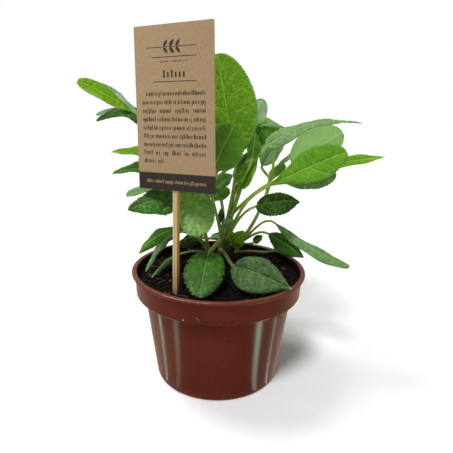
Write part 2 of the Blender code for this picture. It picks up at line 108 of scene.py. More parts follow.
class SalviaPot(bpy.types.PropertyGroup):
    """Sizes of the pot and its soil."""
    height: length("Height", "Rim above the ground", POT_HIGH[2])
    rim_radius: length("Rim radius", "Outside of the lip", POT_HIGH[0])
    band_height: length("Band height", "Height of the rim band", 14.5 * MM)
    wall: length("Wall", "Thickness of the wall", 1.1 * MM)
    sides: IntProperty(name="Sides", description="Faces round the pot", default=160, min=24)
    crumbs: IntProperty(name="Crumbs", description="Loose crumbs on the soil", default=1500,
                        min=0)


class SalviaCard(bpy.types.PropertyGroup):
    """Sizes of the card and its stick."""
    width: length("Width", "Width of the card", 50.0 * MM)
    height: length("Height", "Height of the card", 90.0 * MM)
    thickness: length("Thickness", "Thickness of the board", 0.6 * MM)
    corner: length("Corner", "Radius of the corners", 1.0 * MM)
    band: length("Dark band", "Height of the dark band along the bottom edge", 9.8 * MM)
    stick_side: length("Stick side", "Side of the square stick", 3.2 * MM)


class SalviaPlant(bpy.types.PropertyGroup):
    """Sizes of the plant's finer forms."""
    blade: length("Blade", "Thickness of a leaf", 0.5 * MM)
    tooth_pitch: length("Tooth pitch", "From tooth to tooth along a leaf's edge", 1.9 * MM)
    tooth_height: length("Tooth height", "How far a tooth stands out", 0.7 * MM)
    vein_pitch: length("Vein pitch", "Between side veins of a leaf 20 mm wide", 6.6 * MM)
    quilt: length("Quilting", "How far the blade bulges between side veins", 0.5 * MM)
    pebble: length("Pebbling", "Height of the pebbles between the fine veins", 0.8 * MM)
    pebble_pitch: length("Pebble pitch", "Distance between the pebbles", 2.6 * MM)
    hair: length("Hair", "Length of the longest hairs", 0.75 * MM)


class SalviaFinish(bpy.types.PropertyGroup):
    """Colours of the finishes."""
    pot: colour("Pot", "Brown moulded plastic", "#582013")
    soil: colour("Soil", "Damp peat", "#080605")
    card: colour("Card", "Kraft board", "#9d8464")
    ink: colour("Ink", "Print and dark band", "#2e2825")
    bamboo: colour("Bamboo", "Sawn bamboo", "#bfa878")
    bamboo_skin: colour("Bamboo skin", "Outer, browner side of the bamboo", "#c08d3c")
    leaf_dark: colour("Old leaf", "Upper side of an old leaf", "#1b4202")
    leaf_mid: colour("Leaf", "Upper side of a grown leaf", "#47850a")
    leaf_young: colour("Young leaf", "Upper side of a young leaf", "#68a003")
    down: colour("Down", "Short pale hair on the leaves", "#a8c5a0")
    stem: colour("Stem", "Young stem", "#b5c56e")
    stalk: colour("Leaf stalk", "Stalk of a leaf", "#7fa822")


class SalviaStudio(bpy.types.PropertyGroup):
    """Light, floor and camera."""
    key: number("Key light", "Light from the front, left and above", 2.2)
    top: number("Top light", "Soft light from the left and above", 1.4)
    strips: number("Strips", "Low light strips that the pot mirrors", 10.0)
    world: number("Room light", "Brightness of the pale room", 0.3)
    distance: length("Camera distance", "Camera before the pot's axis", 269.97 * MM)
    camera_height: length("Camera height", "Camera above the ground", 170.92 * MM)
    focal: number("Focal length", "For a 36 mm sensor", 34.967, subtype="DISTANCE_CAMERA")


# ---------------------------------------------------------------- tools


def pick(*objects):
    """Only these are selected, the first one is active."""
    bpy.ops.object.select_all(action="DESELECT")
    for obj in objects:
        obj.select_set(True)
    bpy.context.view_layer.objects.active = objects[0]


def new_object(operator, **settings):
    """The object that a modelling operator makes, run with nothing selected."""
    bpy.ops.object.select_all(action="DESELECT")
    operator(**settings)
    return bpy.context.view_layer.objects.active


def edit(obj, mode="EDGE"):
    pick(obj)
    bpy.ops.object.mode_set(mode="EDIT")
    bpy.ops.mesh.select_mode(type=mode)
    bpy.ops.mesh.select_all(action="SELECT")


def leave_edit():
    bpy.ops.object.mode_set(mode="OBJECT")


def step_ring(radius_from, radius_to, rise):
    """Extrudes the selected ring by rise and scales it about the upright axis."""
    bpy.ops.mesh.extrude_region_move(TRANSFORM_OT_translate={"value": (0.0, 0.0, rise)})
    k = radius_to / radius_from
    bpy.ops.transform.resize(value=(k, k, 1.0), center_override=(0.0, 0.0, 0.0))


def outward():
    """Merges doubles and turns the faces of the mesh in edit mode outwards."""
    bpy.ops.mesh.select_all(action="SELECT")
    bpy.ops.mesh.remove_doubles(threshold=0.001 * MM)
    bpy.ops.mesh.normals_make_consistent(inside=False)


def modify(obj, kind, **settings):
    """Gives the object a modifier and applies it."""
    modifier = obj.modifiers.new(kind, kind)
    for name, value in settings.items():
        setattr(modifier, name, value)
    pick(obj)
    bpy.ops.object.modifier_apply(modifier=modifier.name)


def smooth(obj, degrees):
    """Smooth shading, except over edges sharper than that."""
    pick(obj)
    bpy.ops.object.shade_smooth_by_angle(angle=math.radians(degrees))


def bake(obj, place=None):
    """Puts the object's place, or the place given, into its mesh."""
    if place:
        obj.matrix_world = place
    pick(obj)
    bpy.ops.object.transform_apply(location=True, rotation=True, scale=True)


def join(objects):
    pick(*objects)
    if len(objects) > 1:
        bpy.ops.object.join()
    return bpy.context.view_layer.objects.active


def clear_away(*objects):
    for obj in objects:
        bpy.data.objects.remove(obj, do_unlink=True)


def settle(obj, name, slot, *nodes, skins=()):
    """Finishes a piece: its materials, its place in its mesh, its name, and the frame's calls."""
    for skin in skins:
        obj.data.materials.append(skin)
    bake(obj)
    obj.name = name
    obj.data.name = name
    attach(obj, BODY)
    if nodes:
        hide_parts(*nodes)


def float_layer(mesh, name, values):
    layer = mesh.attributes.new(name, "FLOAT", "POINT")
    layer.data.foreach_set("value", np.asarray(values, dtype=np.float32))


def drop_maps(mesh):
    while mesh.uv_layers:
        mesh.uv_layers.remove(mesh.uv_layers[0])


def coordinates(mesh):
    flat = np.empty(len(mesh.vertices) * 3)
    mesh.vertices.foreach_get("co", flat)
    return flat.reshape(-1, 3)


def copies(source, places, name):
    """One object of many copies of source's mesh; places are 4 x 4 matrices."""
    points = coordinates(source.data)
    count = len(points)
    points = np.c_[points, np.ones(count)]
    faces = [tuple(p.vertices) for p in source.data.polygons]
    every, all_faces = [], []
    for i, place in enumerate(places):
        every.append((points @ np.asarray(place).T)[:, :3])
        all_faces += [tuple(v + i * count for v in face) for face in faces]
    mesh = bpy.data.meshes.new(name)
    mesh.from_pydata(np.concatenate(every).tolist(), [], all_faces)
    mesh.update()
    shade = np.random.default_rng(len(places)).random(len(places))
    float_layer(mesh, "shade", np.repeat(shade, count))
    obj = bpy.data.objects.new(name, mesh)
    bpy.context.scene.collection.objects.link(obj)
    return obj


# ---------------------------------------------------------------- materials

# Which of a node's settings the word after its kind stands for; else it is its operation
MODES = {"Mix": "data_type", "MapRange": "interpolation_type"}


def hue(name, times=1.0):
    """A hex colour, or the finish of that name, made so many times as bright."""
    tint = linear(name) if name[0] == "#" else getattr(bpy.context.scene.salvia_finish, name)
    return (*(min(1.0, c * times) for c in tint[:3]), 1.0)


def add(tree, kind, *inputs, ramp=(), **settings):
    """Adds one node: its kind and mode, what goes into the sockets that it shows, in their
    order or in a dict by name, the stops of its ramp, and its other settings. A node or an
    output is linked, a word is the name of a colour, and anything else is a value."""
    kind, _, mode = kind.partition(" ")
    node = tree.nodes.new("ShaderNode" + kind)
    if mode:
        settings[MODES.get(kind, "operation")] = mode
    for name, value in settings.items():
        setattr(node, name, value)
    shown = [socket for socket in node.inputs if socket.enabled]
    for i, given in enumerate(inputs):
        named = isinstance(given, dict)
        for socket, value in given.items() if named else ((i, given),):
            socket = node.inputs[socket] if named else shown[socket]
            if isinstance(value, bpy.types.Node):
                value = next(output for output in value.outputs if output.enabled)
            if isinstance(value, bpy.types.NodeSocket):
                tree.links.new(value, socket)
            else:
                socket.default_value = hue(value) if isinstance(value, str) else value
    if ramp:
        stops = node.color_ramp.elements
        for _ in ramp[2:]:
            stops.new(0.5)
        for stop, (place, shade) in zip(stops, ramp):
            stop.position = place
            stop.color = hue(shade) if isinstance(shade, str) else shade
    return node


def material(paint):
    """Makes paint, which gives the sockets of a shader, a maker of its material, made once."""
    @functools.wraps(paint)
    def get(*given):
        name = "_".join((paint.__name__, *(word for word in given if isinstance(word, str))))
        made = bpy.data.materials.get(name)
        if not made:
            made = bpy.data.materials.new(name)
            made.use_nodes = True
            tree = made.node_tree
            tree.nodes.clear()
            add(tree, "OutputMaterial", add(tree, "BsdfPrincipled", paint(tree, *given)))
        return made
    return get


@material
def moulded_polypropylene(tree):
    """Injection-moulded pot: half-gloss brown plastic, faintly wavy, with a fine grain that
    breaks up the highlights, a mould seam, and grey dust near the lip and the foot."""
    here = add(tree, "TexCoord").outputs["Object"]
    axes = add(tree, "SeparateXYZ", here).outputs
    cloud = add(tree, "TexNoise", here, PER_MM / 22.0, 3.0)
    tint = add(tree, "ValToRGB", cloud, ramp=((0.3, hue("pot", 0.9)), (0.7, hue("pot", 1.1))))
    # Dust is drawn as 0.6 mm specks; the real ones are too fine to show.
    speck = add(tree, "TexNoise", here, PER_MM / 0.6, 1.0)
    low = add(tree, "MapRange", axes["Z"], 6.0 * MM, 0.0, 0.0, 0.5)
    high = add(tree, "MapRange", axes["Z"], 67.2 * MM, 69.2 * MM)
    dust = add(tree, "Math MULTIPLY", add(tree, "Math ADD", low, high), speck)
    amount = add(tree, "Math MULTIPLY", dust, 0.4)
    mark = add(tree, "MapRange", speck, 0.76, 0.8, 0.0, 0.3)
    film = add(tree, "Math MAXIMUM", amount, mark)
    skin = add(tree, "Mix RGBA", film, tint, "#a0665a")
    # Soil-coloured blots of 3 mm on the inside wall, thinning out towards the lip: smeared soil,
    # and also painted shade on the wall inside the rim.
    flat = add(tree, "CombineXYZ", axes["X"], axes["Y"])
    reach = add(tree, "VectorMath LENGTH", flat)
    taper = add(tree, "MapRange", axes["Z"], 55.0 * MM, 68.0 * MM, 51.6 * MM, 52.3 * MM)
    inside = add(tree, "Math LESS_THAN", reach, taper)
    above = add(tree, "Math GREATER_THAN", axes["Z"], 56.0 * MM)
    inside = add(tree, "Math MULTIPLY", inside, above)
    smear_and_shade_blot = add(tree, "TexNoise", here, PER_MM / 3.0, 3.0)
    thin = add(tree, "MapRange", axes["Z"], 69.6 * MM, 67.6 * MM, -0.3, 0.4)
    cover = add(tree, "MapRange", add(tree, "Math ADD", smear_and_shade_blot, thin), 0.4, 0.55, 0.0, 0.95)
    skin = add(tree, "Mix RGBA", add(tree, "Math MULTIPLY", inside, cover), skin, "#120b07")
    # Moulding grain of 0.4 mm: a trace in the gloss, no more.
    grain = add(tree, "TexNoise", here, PER_MM / 0.4, 1.0)
    wave = add(tree, "TexNoise", here, PER_MM / 26.0, 1.0)
    off_seam = add(tree, "Math ABSOLUTE", add(tree, "Math ADD", axes["X"], 1.5 * MM))
    seam = add(tree, "MapRange SMOOTHSTEP", off_seam, 0.1 * MM, 0.45 * MM, 1.0, 0.0)
    ripple = add(tree, "Math MULTIPLY", grain, 0.05)
    height = add(tree, "Math MULTIPLY_ADD", wave, 1.5, ripple)
    height = add(tree, "Math MULTIPLY_ADD", seam, 0.6, height)
    return {"Base Color": skin, "IOR": 1.49, "Specular IOR Level": 0.5,
            "Roughness": add(tree, "MapRange", grain, 0.3, 0.7, 0.12, 0.24),
            "Normal": add(tree, "Bump", {"Distance": 0.1 * MM, "Height": height})}


@material
def peat_compost(tree):
    """Damp peat potting soil: nearly black crumbs with brown fibre dust, fully matt."""
    here = add(tree, "TexCoord").outputs["Object"]
    crumb = add(tree, "TexNoise", here, PER_MM / 1.3, 4.0)
    tint = add(tree, "ValToRGB", crumb,
               ramp=((0.42, hue("soil", 0.25)), (0.6, "soil"), (0.72, "#3a2d22")))
    shade = add(tree, "Attribute", attribute_name="shade").outputs["Fac"]
    dry = add(tree, "Math POWER", shade, 9.0)
    grit = add(tree, "TexVoronoi", here, PER_MM / 0.9)
    height = add(tree, "Math MULTIPLY_ADD", grit, -0.8, crumb)
    return {"Base Color": add(tree, "Mix RGBA", dry, tint, "#4b3d28"),
            "Roughness": add(tree, "MapRange", crumb, 0.35, 0.65, 0.32, 0.9),
            "Normal": add(tree, "Bump", {"Distance": 1.6 * MM, "Height": height}),
            "Specular IOR Level": 0.2}


@material
def kraft_board(tree):
    """Uncoated recycled kraft board: warm brown, matt, with long fibres and flecks, and a
    dark printed band along its bottom edge."""
    card = bpy.context.scene.salvia_card
    face = add(tree, "UVMap", uv_map="card_mm").outputs["UV"]
    # Fibres 0.25 mm wide, ten times as long; real ones are 0.03 mm and would not show.
    layers = [add(tree, "TexNoise", add(tree, "Mapping", face, {
        "Rotation": (0.0, 0.0, turn), "Scale": (*scale, 1.0)}), 1.0, 3.0)
        for turn, scale in ((0.5, (4.0, 0.5)), (-0.9, (3.2, 0.4)))]
    fibres = add(tree, "Math MULTIPLY", add(tree, "Math ADD", *layers), 0.5)
    board = add(tree, "ValToRGB", fibres,
                ramp=((0.38, hue("card", 0.82)), (0.62, hue("card", 1.18))))
    cloud = add(tree, "TexNoise", face, 0.6, 2.0)
    fleck = add(tree, "MapRange", cloud, 0.69, 0.76, 0.0, 0.5)
    board = add(tree, "Mix RGBA", fleck, board, "#6e5a42")
    height = add(tree, "SeparateXYZ", face).outputs["Y"]
    band = add(tree, "Math LESS_THAN", height, card.band / MM - card.height / MM / 2)
    thin = add(tree, "MapRange", fibres, 0.45, 0.75, 1.0, 0.86)
    cover = add(tree, "Math MULTIPLY", band, thin)
    bump = {"Strength": 0.6, "Distance": 0.05 * MM, "Height": fibres}
    return {"Base Color": add(tree, "Mix RGBA", cover, board, "ink"), "Roughness": 0.88,
            "Normal": add(tree, "Bump", bump), "Specular IOR Level": 0.25}


@material
def split_bamboo(tree, side="bamboo"):
    """Sawn bamboo: satin, with straight vascular fibres along its length, straw-coloured
    within and browner towards the culm's skin."""
    here = add(tree, "TexCoord").outputs["Object"]
    ground = "bamboo_skin" if side == "skin" else "bamboo"
    # Vascular bundles 0.4 mm wide and 60 mm long.
    grain = add(tree, "Mapping", here, {"Scale": (PER_MM / 0.4, PER_MM / 0.4, PER_MM / 60.0)})
    lines = add(tree, "TexNoise", grain, 1.0, 3.0)
    tint = add(tree, "ValToRGB", lines,
               ramp=((0.3, hue(ground, 0.75)), (0.5, ground), (0.75, hue(ground, 1.2))))
    height = add(tree, "SeparateXYZ", here).outputs["Z"]
    wet = add(tree, "MapRange", height, 66.0 * MM, 60.0 * MM, 0.0, 0.75)
    bump = {"Strength": 0.7, "Distance": 0.08 * MM, "Height": lines}
    return {"Base Color": add(tree, "Mix RGBA", wet, tint, "#4a3420"), "Roughness": 0.5,
            "Normal": add(tree, "Bump", bump), "Specular IOR Level": 0.4}


def leaf_patterns(tree):
    """What both sides of a leaf share: the net of creases, fine pebbles, side veins, midrib
    and edge. The larger pebbles, with their creases, come with the mesh, as dome."""
    face = add(tree, "UVMap", uv_map="leaf_mm")
    span = add(tree, "SeparateXYZ", add(tree, "UVMap", uv_map="leaf_span")).outputs
    marks = {name: add(tree, "Attribute", attribute_name=name).outputs["Fac"]
             for name in ("tone", "grey", "seed", "vein", "crinkle", "dome")}
    shift = add(tree, "CombineXYZ", marks["seed"], 0.0, marks["seed"])
    where = add(tree, "VectorMath ADD", face, shift)
    bend = add(tree, "TexNoise", where, 0.4, 1.0)
    # The fields between the finest veins are 0.8 mm in sage; drawn 1.2 mm wide to show.
    fine = add(tree, "TexVoronoi", where, 1.0 / 1.2, feature="DISTANCE_TO_EDGE")
    fine = add(tree, "MapRange SMOOTHSTEP", fine, 0.0, 0.38)
    # Crumpled leaves show folds rather than fine pebbles.
    even = add(tree, "MapRange", marks["crinkle"], 1.0, 2.0, 0.0, 0.75)
    fine = add(tree, "Mix", even, fine, 0.6)
    net = add(tree, "MapRange SMOOTHSTEP", marks["dome"], 0.05, 0.45, 1.0, 0.0)
    sway = add(tree, "Math MULTIPLY_ADD", bend, 0.16, marks["vein"])
    near = add(tree, "Math PINGPONG", sway, 0.5)
    v = add(tree, "Math ABSOLUTE", span["X"])
    inner = add(tree, "MapRange", v, 1.0, 0.45)
    side = add(tree, "MapRange SMOOTHSTEP", near, 0.01, 0.05, 1.0, 0.0)
    x = add(tree, "Math ABSOLUTE", add(tree, "SeparateXYZ", face).outputs["X"])
    return {**marks, "net": net, "fine": fine, "side": add(tree, "Math MULTIPLY", side, inner),
            "rib": add(tree, "MapRange SMOOTHSTEP", x, 0.2, 0.6, 1.0, 0.0),
            "edge": add(tree, "MapRange", v, 0.94, 1.0),
            "patch": add(tree, "TexNoise", where, 1.0 / 8.0, 2.0)}


def vein_lines(tree, p, net, side, rib):
    """The strongest of the fine, side and middle veins at each point, each to its amount."""
    lines = add(tree, "Math MULTIPLY", p["net"], net)
    for name, amount in (("side", side), ("rib", rib)):
        found = add(tree, "Math MULTIPLY", p[name], amount)
        lines = add(tree, "Math MAXIMUM", lines, found)
    return lines


@material
def sage_leaf_upper(tree):
    """Live sage leaf, upper side: pebbled between sunken veins, with a soft shine on the
    pebbles, painted shade in the creases and painted light on the pebble tops, pale veins,
    and more or less grey down, on some leaves greyer towards the tip as a painted sheen; it
    glows where light comes through."""
    p = leaf_patterns(tree)
    spread = add(tree, "MapRange", p["patch"], 0.3, 0.7, -0.08, 0.08)
    blade = add(tree, "ValToRGB", add(tree, "Math ADD", p["tone"], spread),
                ramp=((0.0, "leaf_dark"), (0.5, "leaf_mid"), (1.0, "leaf_young")))
    # Painted shade darkens the creases and painted light brightens the pebble tops, more so on old
    # and crumpled leaves; in young ones only the veins show.
    young = add(tree, "MapRange", p["tone"], 0.4, 0.8)
    painted_relief_shade = add(tree, "Math MULTIPLY_ADD", p["fine"], 0.3, p["dome"])
    painted_relief_shade = add(tree, "MapRange", painted_relief_shade, 0.15, 1.15, -0.5, 0.34)
    depth = add(tree, "MapRange", young, 0.0, 1.0, 1.0, 0.25)
    depth = add(tree, "Math MULTIPLY", depth, p["crinkle"])
    depth = add(tree, "Math MINIMUM", depth, 1.0)
    even = add(tree, "Math MULTIPLY_ADD", painted_relief_shade, depth, 1.0)
    blade = add(tree, "VectorMath MULTIPLY", blade, even)
    pale = add(tree, "ValToRGB", young, ramp=((0.0, "#93ba6c"), (1.0, "#a9cc48")))
    # The net of fine veins hardly shows in old leaves.
    faint = add(tree, "MapRange", young, 0.0, 1.0, 0.25, 1.0)
    p["net"] = add(tree, "Math MULTIPLY", p["net"], faint)
    lines = vein_lines(tree, p, 0.4, 0.55, 0.8)
    faint = add(tree, "MapRange", young, 0.0, 1.0, 0.65, 1.0)
    lines = add(tree, "Math MULTIPLY", lines, faint)
    veined = add(tree, "Mix RGBA", lines, blade, pale)
    # Down covers the pebbles more than the creases, leaves the veins bare, and edges the leaf; on
    # leaves with greyer set, its grey also holds a painted sheen towards the tip.
    fuzz = add(tree, "Math MULTIPLY", p["fine"], p["dome"])
    fuzz = add(tree, "MapRange", fuzz, 0.0, 1.0, 0.25, 1.0)
    down = add(tree, "Math MULTIPLY", p["grey"], fuzz)
    bare = add(tree, "Math MULTIPLY_ADD", lines, -0.8, 1.0)
    down = add(tree, "Math MULTIPLY", down, bare)
    down = add(tree, "Math MAXIMUM", down, add(tree, "Math MULTIPLY", p["edge"], 0.22))
    height = add(tree, "Math MULTIPLY", p["fine"], p["crinkle"])
    for name, drop in (("rib", -0.5), ("side", -0.4)):
        height = add(tree, "Math MULTIPLY_ADD", p[name], drop, height)
    return {"Base Color": add(tree, "Mix RGBA", down, veined, "down"),
            "Normal": add(tree, "Bump", {"Distance": 0.35 * MM, "Height": height}),
            "Roughness": add(tree, "MapRange", p["tone"], 0.0, 1.0, 0.42, 0.6),
            "Specular IOR Level": 0.18, "Subsurface Weight": 0.2,
            "Subsurface Radius": (0.5, 1.0, 0.08), "Subsurface Scale": 0.5 * MM,
            "Sheen Weight": 0.02, "Sheen Roughness": 0.4, "Sheen Tint": "#c9e0a0"}


@material
def sage_leaf_underside(tree):
    """Live sage leaf, underside: felted pale grey-green, with veins that stand out a little."""
    p = leaf_patterns(tree)
    felt = add(tree, "ValToRGB", p["tone"],
               ramp=((0.0, "#6f9068"), (0.6, "#86b068"), (1.0, "#93bd55")))
    skin = add(tree, "Mix RGBA", vein_lines(tree, p, 0.16, 0.26, 0.5), felt, "#b9d1a2")
    raised = add(tree, "Math MULTIPLY_ADD", p["rib"], 1.5, p["net"])
    raised = add(tree, "Math MULTIPLY_ADD", p["side"], 0.8, raised)
    bump = {"Strength": 0.8, "Distance": 0.1 * MM, "Height": raised}
    return {"Base Color": add(tree, "Mix RGBA", p["grey"], skin, "#a9c4a6"),
            "Normal": add(tree, "Bump", bump), "Roughness": 0.8, "Specular IOR Level": 0.2,
            "Subsurface Weight": 0.35, "Subsurface Radius": (0.5, 1.0, 0.2),
            "Subsurface Scale": 1.2 * MM, "Sheen Weight": 0.08, "Sheen Roughness": 0.5,
            "Sheen Tint": "#e6eedc"}


@material
def sage_stem(tree):
    """Soft young stems, pale with down, and brighter green leaf stalks; both ribbed, and
    purple-brown by the soil."""
    here = add(tree, "TexCoord").outputs["Object"]
    stalk, rib = (add(tree, "Attribute", attribute_name=name).outputs["Fac"]
                  for name in ("stalk", "rib"))
    fine = add(tree, "Mapping", here, {"Scale": (PER_MM / 0.9, PER_MM / 0.9, PER_MM / 12.0)})
    streak = add(tree, "TexNoise", fine, 1.0, 2.0)
    green = add(tree, "Mix RGBA", stalk, "stem", "stalk")
    green = add(tree, "Mix RGBA", rib, green, "#a3c083")
    depth = add(tree, "MapRange", streak, 0.35, 0.65, 0.72, 1.12)
    green = add(tree, "VectorMath MULTIPLY", green, depth)
    height = add(tree, "SeparateXYZ", here).outputs["Z"]
    base = add(tree, "MapRange", height, 88.0 * MM, 66.0 * MM, 0.0, 0.8)
    blush = add(tree, "Math MULTIPLY", base, streak)
    bump = {"Strength": 0.8, "Distance": 0.12 * MM, "Height": streak}
    return {"Base Color": add(tree, "Mix RGBA", blush, green, "#6a4048"),
            "Normal": add(tree, "Bump", bump), "Roughness": 0.5, "Specular IOR Level": 0.3,
            "Subsurface Weight": 0.25, "Subsurface Radius": (0.6, 1.0, 0.2),
            "Subsurface Scale": 1.0 * MM, "Sheen Weight": 0.08, "Sheen Roughness": 0.5,
            "Sheen Tint": "#e8efdd"}


@material
def strip_lamp(tree, name, strength, foot):
    """Glow of a low strip light, greenish white; foot is its share near the pot's foot, and
    name tells the strips apart."""
    reach = add(tree, "VectorMath LENGTH", add(tree, "TexCoord").outputs["Object"])
    glow = add(tree, "MapRange", reach, 38.0 * MM, 80.0 * MM, strength * foot, strength)
    return {"Base Color": "#000000", "Emission Color": "#c6f3dc", "Emission Strength": glow}


def mottled(size, *ramp, **more):
    """A plain matt material with one cloudy pattern; size is that of its clouds, in mm."""
    def paint(tree):
        here = add(tree, "TexCoord").outputs["Object"]
        cloud = add(tree, "TexNoise", here, PER_MM / size, 2.0)
        sockets = {name.replace("_", " "): value for name, value in more.items()}
        return {"Base Color": add(tree, "ValToRGB", cloud, ramp=ramp), **sockets}
    return paint


def plain(name, paint):
    """The material of that name from mottled."""
    paint.__name__ = name
    return material(paint)


# Dry coir and straw in the soil: tan, with darker ends
dry_fibre = plain("dry_fibre", mottled(3.0, (0.35, "#5a3f22"), (0.65, "#a78350"), Roughness=0.7))
# Expanded perlite: chalky off-white bits
perlite = plain("perlite", mottled(0.5, (0.35, "#8b8577"), (0.6, "#d8d4c8"), Roughness=0.9))
# Offset ink soaked into kraft: brown-black, a little thin where fibres stand up
printing_ink = plain("printing_ink", mottled(0.5, (0.45, "ink"), (0.75, "#5d4e3f"),
                                             Roughness=0.8, Specular_IOR_Level=0.3))
# Kraft left bare inside the dark band: the band's pale marks
unprinted_kraft = plain("unprinted_kraft", mottled(0.5, (0.35, "#7d6a50"), (0.65, "#a58c6a"),
                                                   Roughness=0.88))
# Soft white hairs of sage; 0.08 mm thick, because real ones would not show
leaf_hair = plain("leaf_hair", mottled(6.0, (0.35, "#a9bf93"), (0.65, "#dbe6cf"), Roughness=0.6))
# Matt white sweep, with a trace of unevenness so that it isn't one flat value
matt_white_floor = plain("matt_white_floor", mottled(
    PER_MM / 3.0, (0.3, "#f9f9f8"), (0.7, "#fcfcfb"), Roughness=0.9, Specular_IOR_Level=0.1))


# ---------------------------------------------------------------- the plant's lines


STEMS = {
    "shoot_main": [(0, 25.5, 57), (0, 25, 67), (2, 21.5, 79), (5, 17, 96), (8, 14, 114),
                   (9, 12, 124)],
    "shoot_right": [(12, 35, 57), (12.5, 34.5, 66), (16, 33, 76), (24, 30, 91), (31, 27, 109),
                    (35, 25, 124)],
    "shoot_left": [(-7, 24, 57), (-7, 24, 67), (-8.5, 20.5, 78), (-11, 17, 95), (-15, 12, 122),
                   (-17, 10, 140)],
    "shoot_back": [(2, 38, 57), (2.3, 38.5, 67), (3, 41, 78), (2, 43, 96), (-2, 44, 116),
                   (-5, 45, 132)],
}


@dataclass
class Leaf:
    """One leaf; lengths in mm, angles in degrees.

    at: where its stalk leaves the stem, in stem points. base, tip: ends of the blade.
    face: heading and height of its upper side, heading 0 to the front. bow: how far the
    midrib stands off its chord, near, far and sideways. cup: fold of the halves.
    tone: 0 old and dark to 1 young and bright; left_lowest's low tone is painted shade. grey: how
    downy. tooth: scale of its teeth.
    crinkle: scale of its relief. skew: how much wider the half on its right is.
    stalk: scale of its stalk's thickness. greyer: how much greyer its tip and greener its base are
    drawn, a painted sky sheen.
    """
    name: str
    at: float
    base: tuple
    tip: tuple
    width: float
    face: tuple
    tone: float
    grey: float = 0.0
    bow: tuple = (0, 0, 0)
    cup: float = 15
    twist: float = 0
    form: str = "ovate"
    wave: tuple = (0.8, 2.0, 0.0)
    tooth: float = 1.0
    crinkle: float = 1.0
    skew: float = 0.0
    stalk: float = 1.0
    greyer: float = 0.0


# Outlines: place of the widest point, bluntness at the base and at the tip
FORMS = {
    "ovate": (0.40, 0.62, 0.72),
    "oblong": (0.50, 0.60, 0.62),
    "tongue": (0.55, 0.60, 0.38),
    "keen": (0.42, 0.60, 0.95),
    "spoon": (0.66, 1.15, 0.46),
    "blunt": (0.46, 0.30, 0.54),
    "hung": (0.52, 0.70, 0.48),
    "heart": (0.47, 0.76, 1.13),
    "long": (0.22, 0.50, 0.85),
    "lance": (0.45, 0.80, 0.90),
    "round": (0.47, 0.50, 0.46),
}

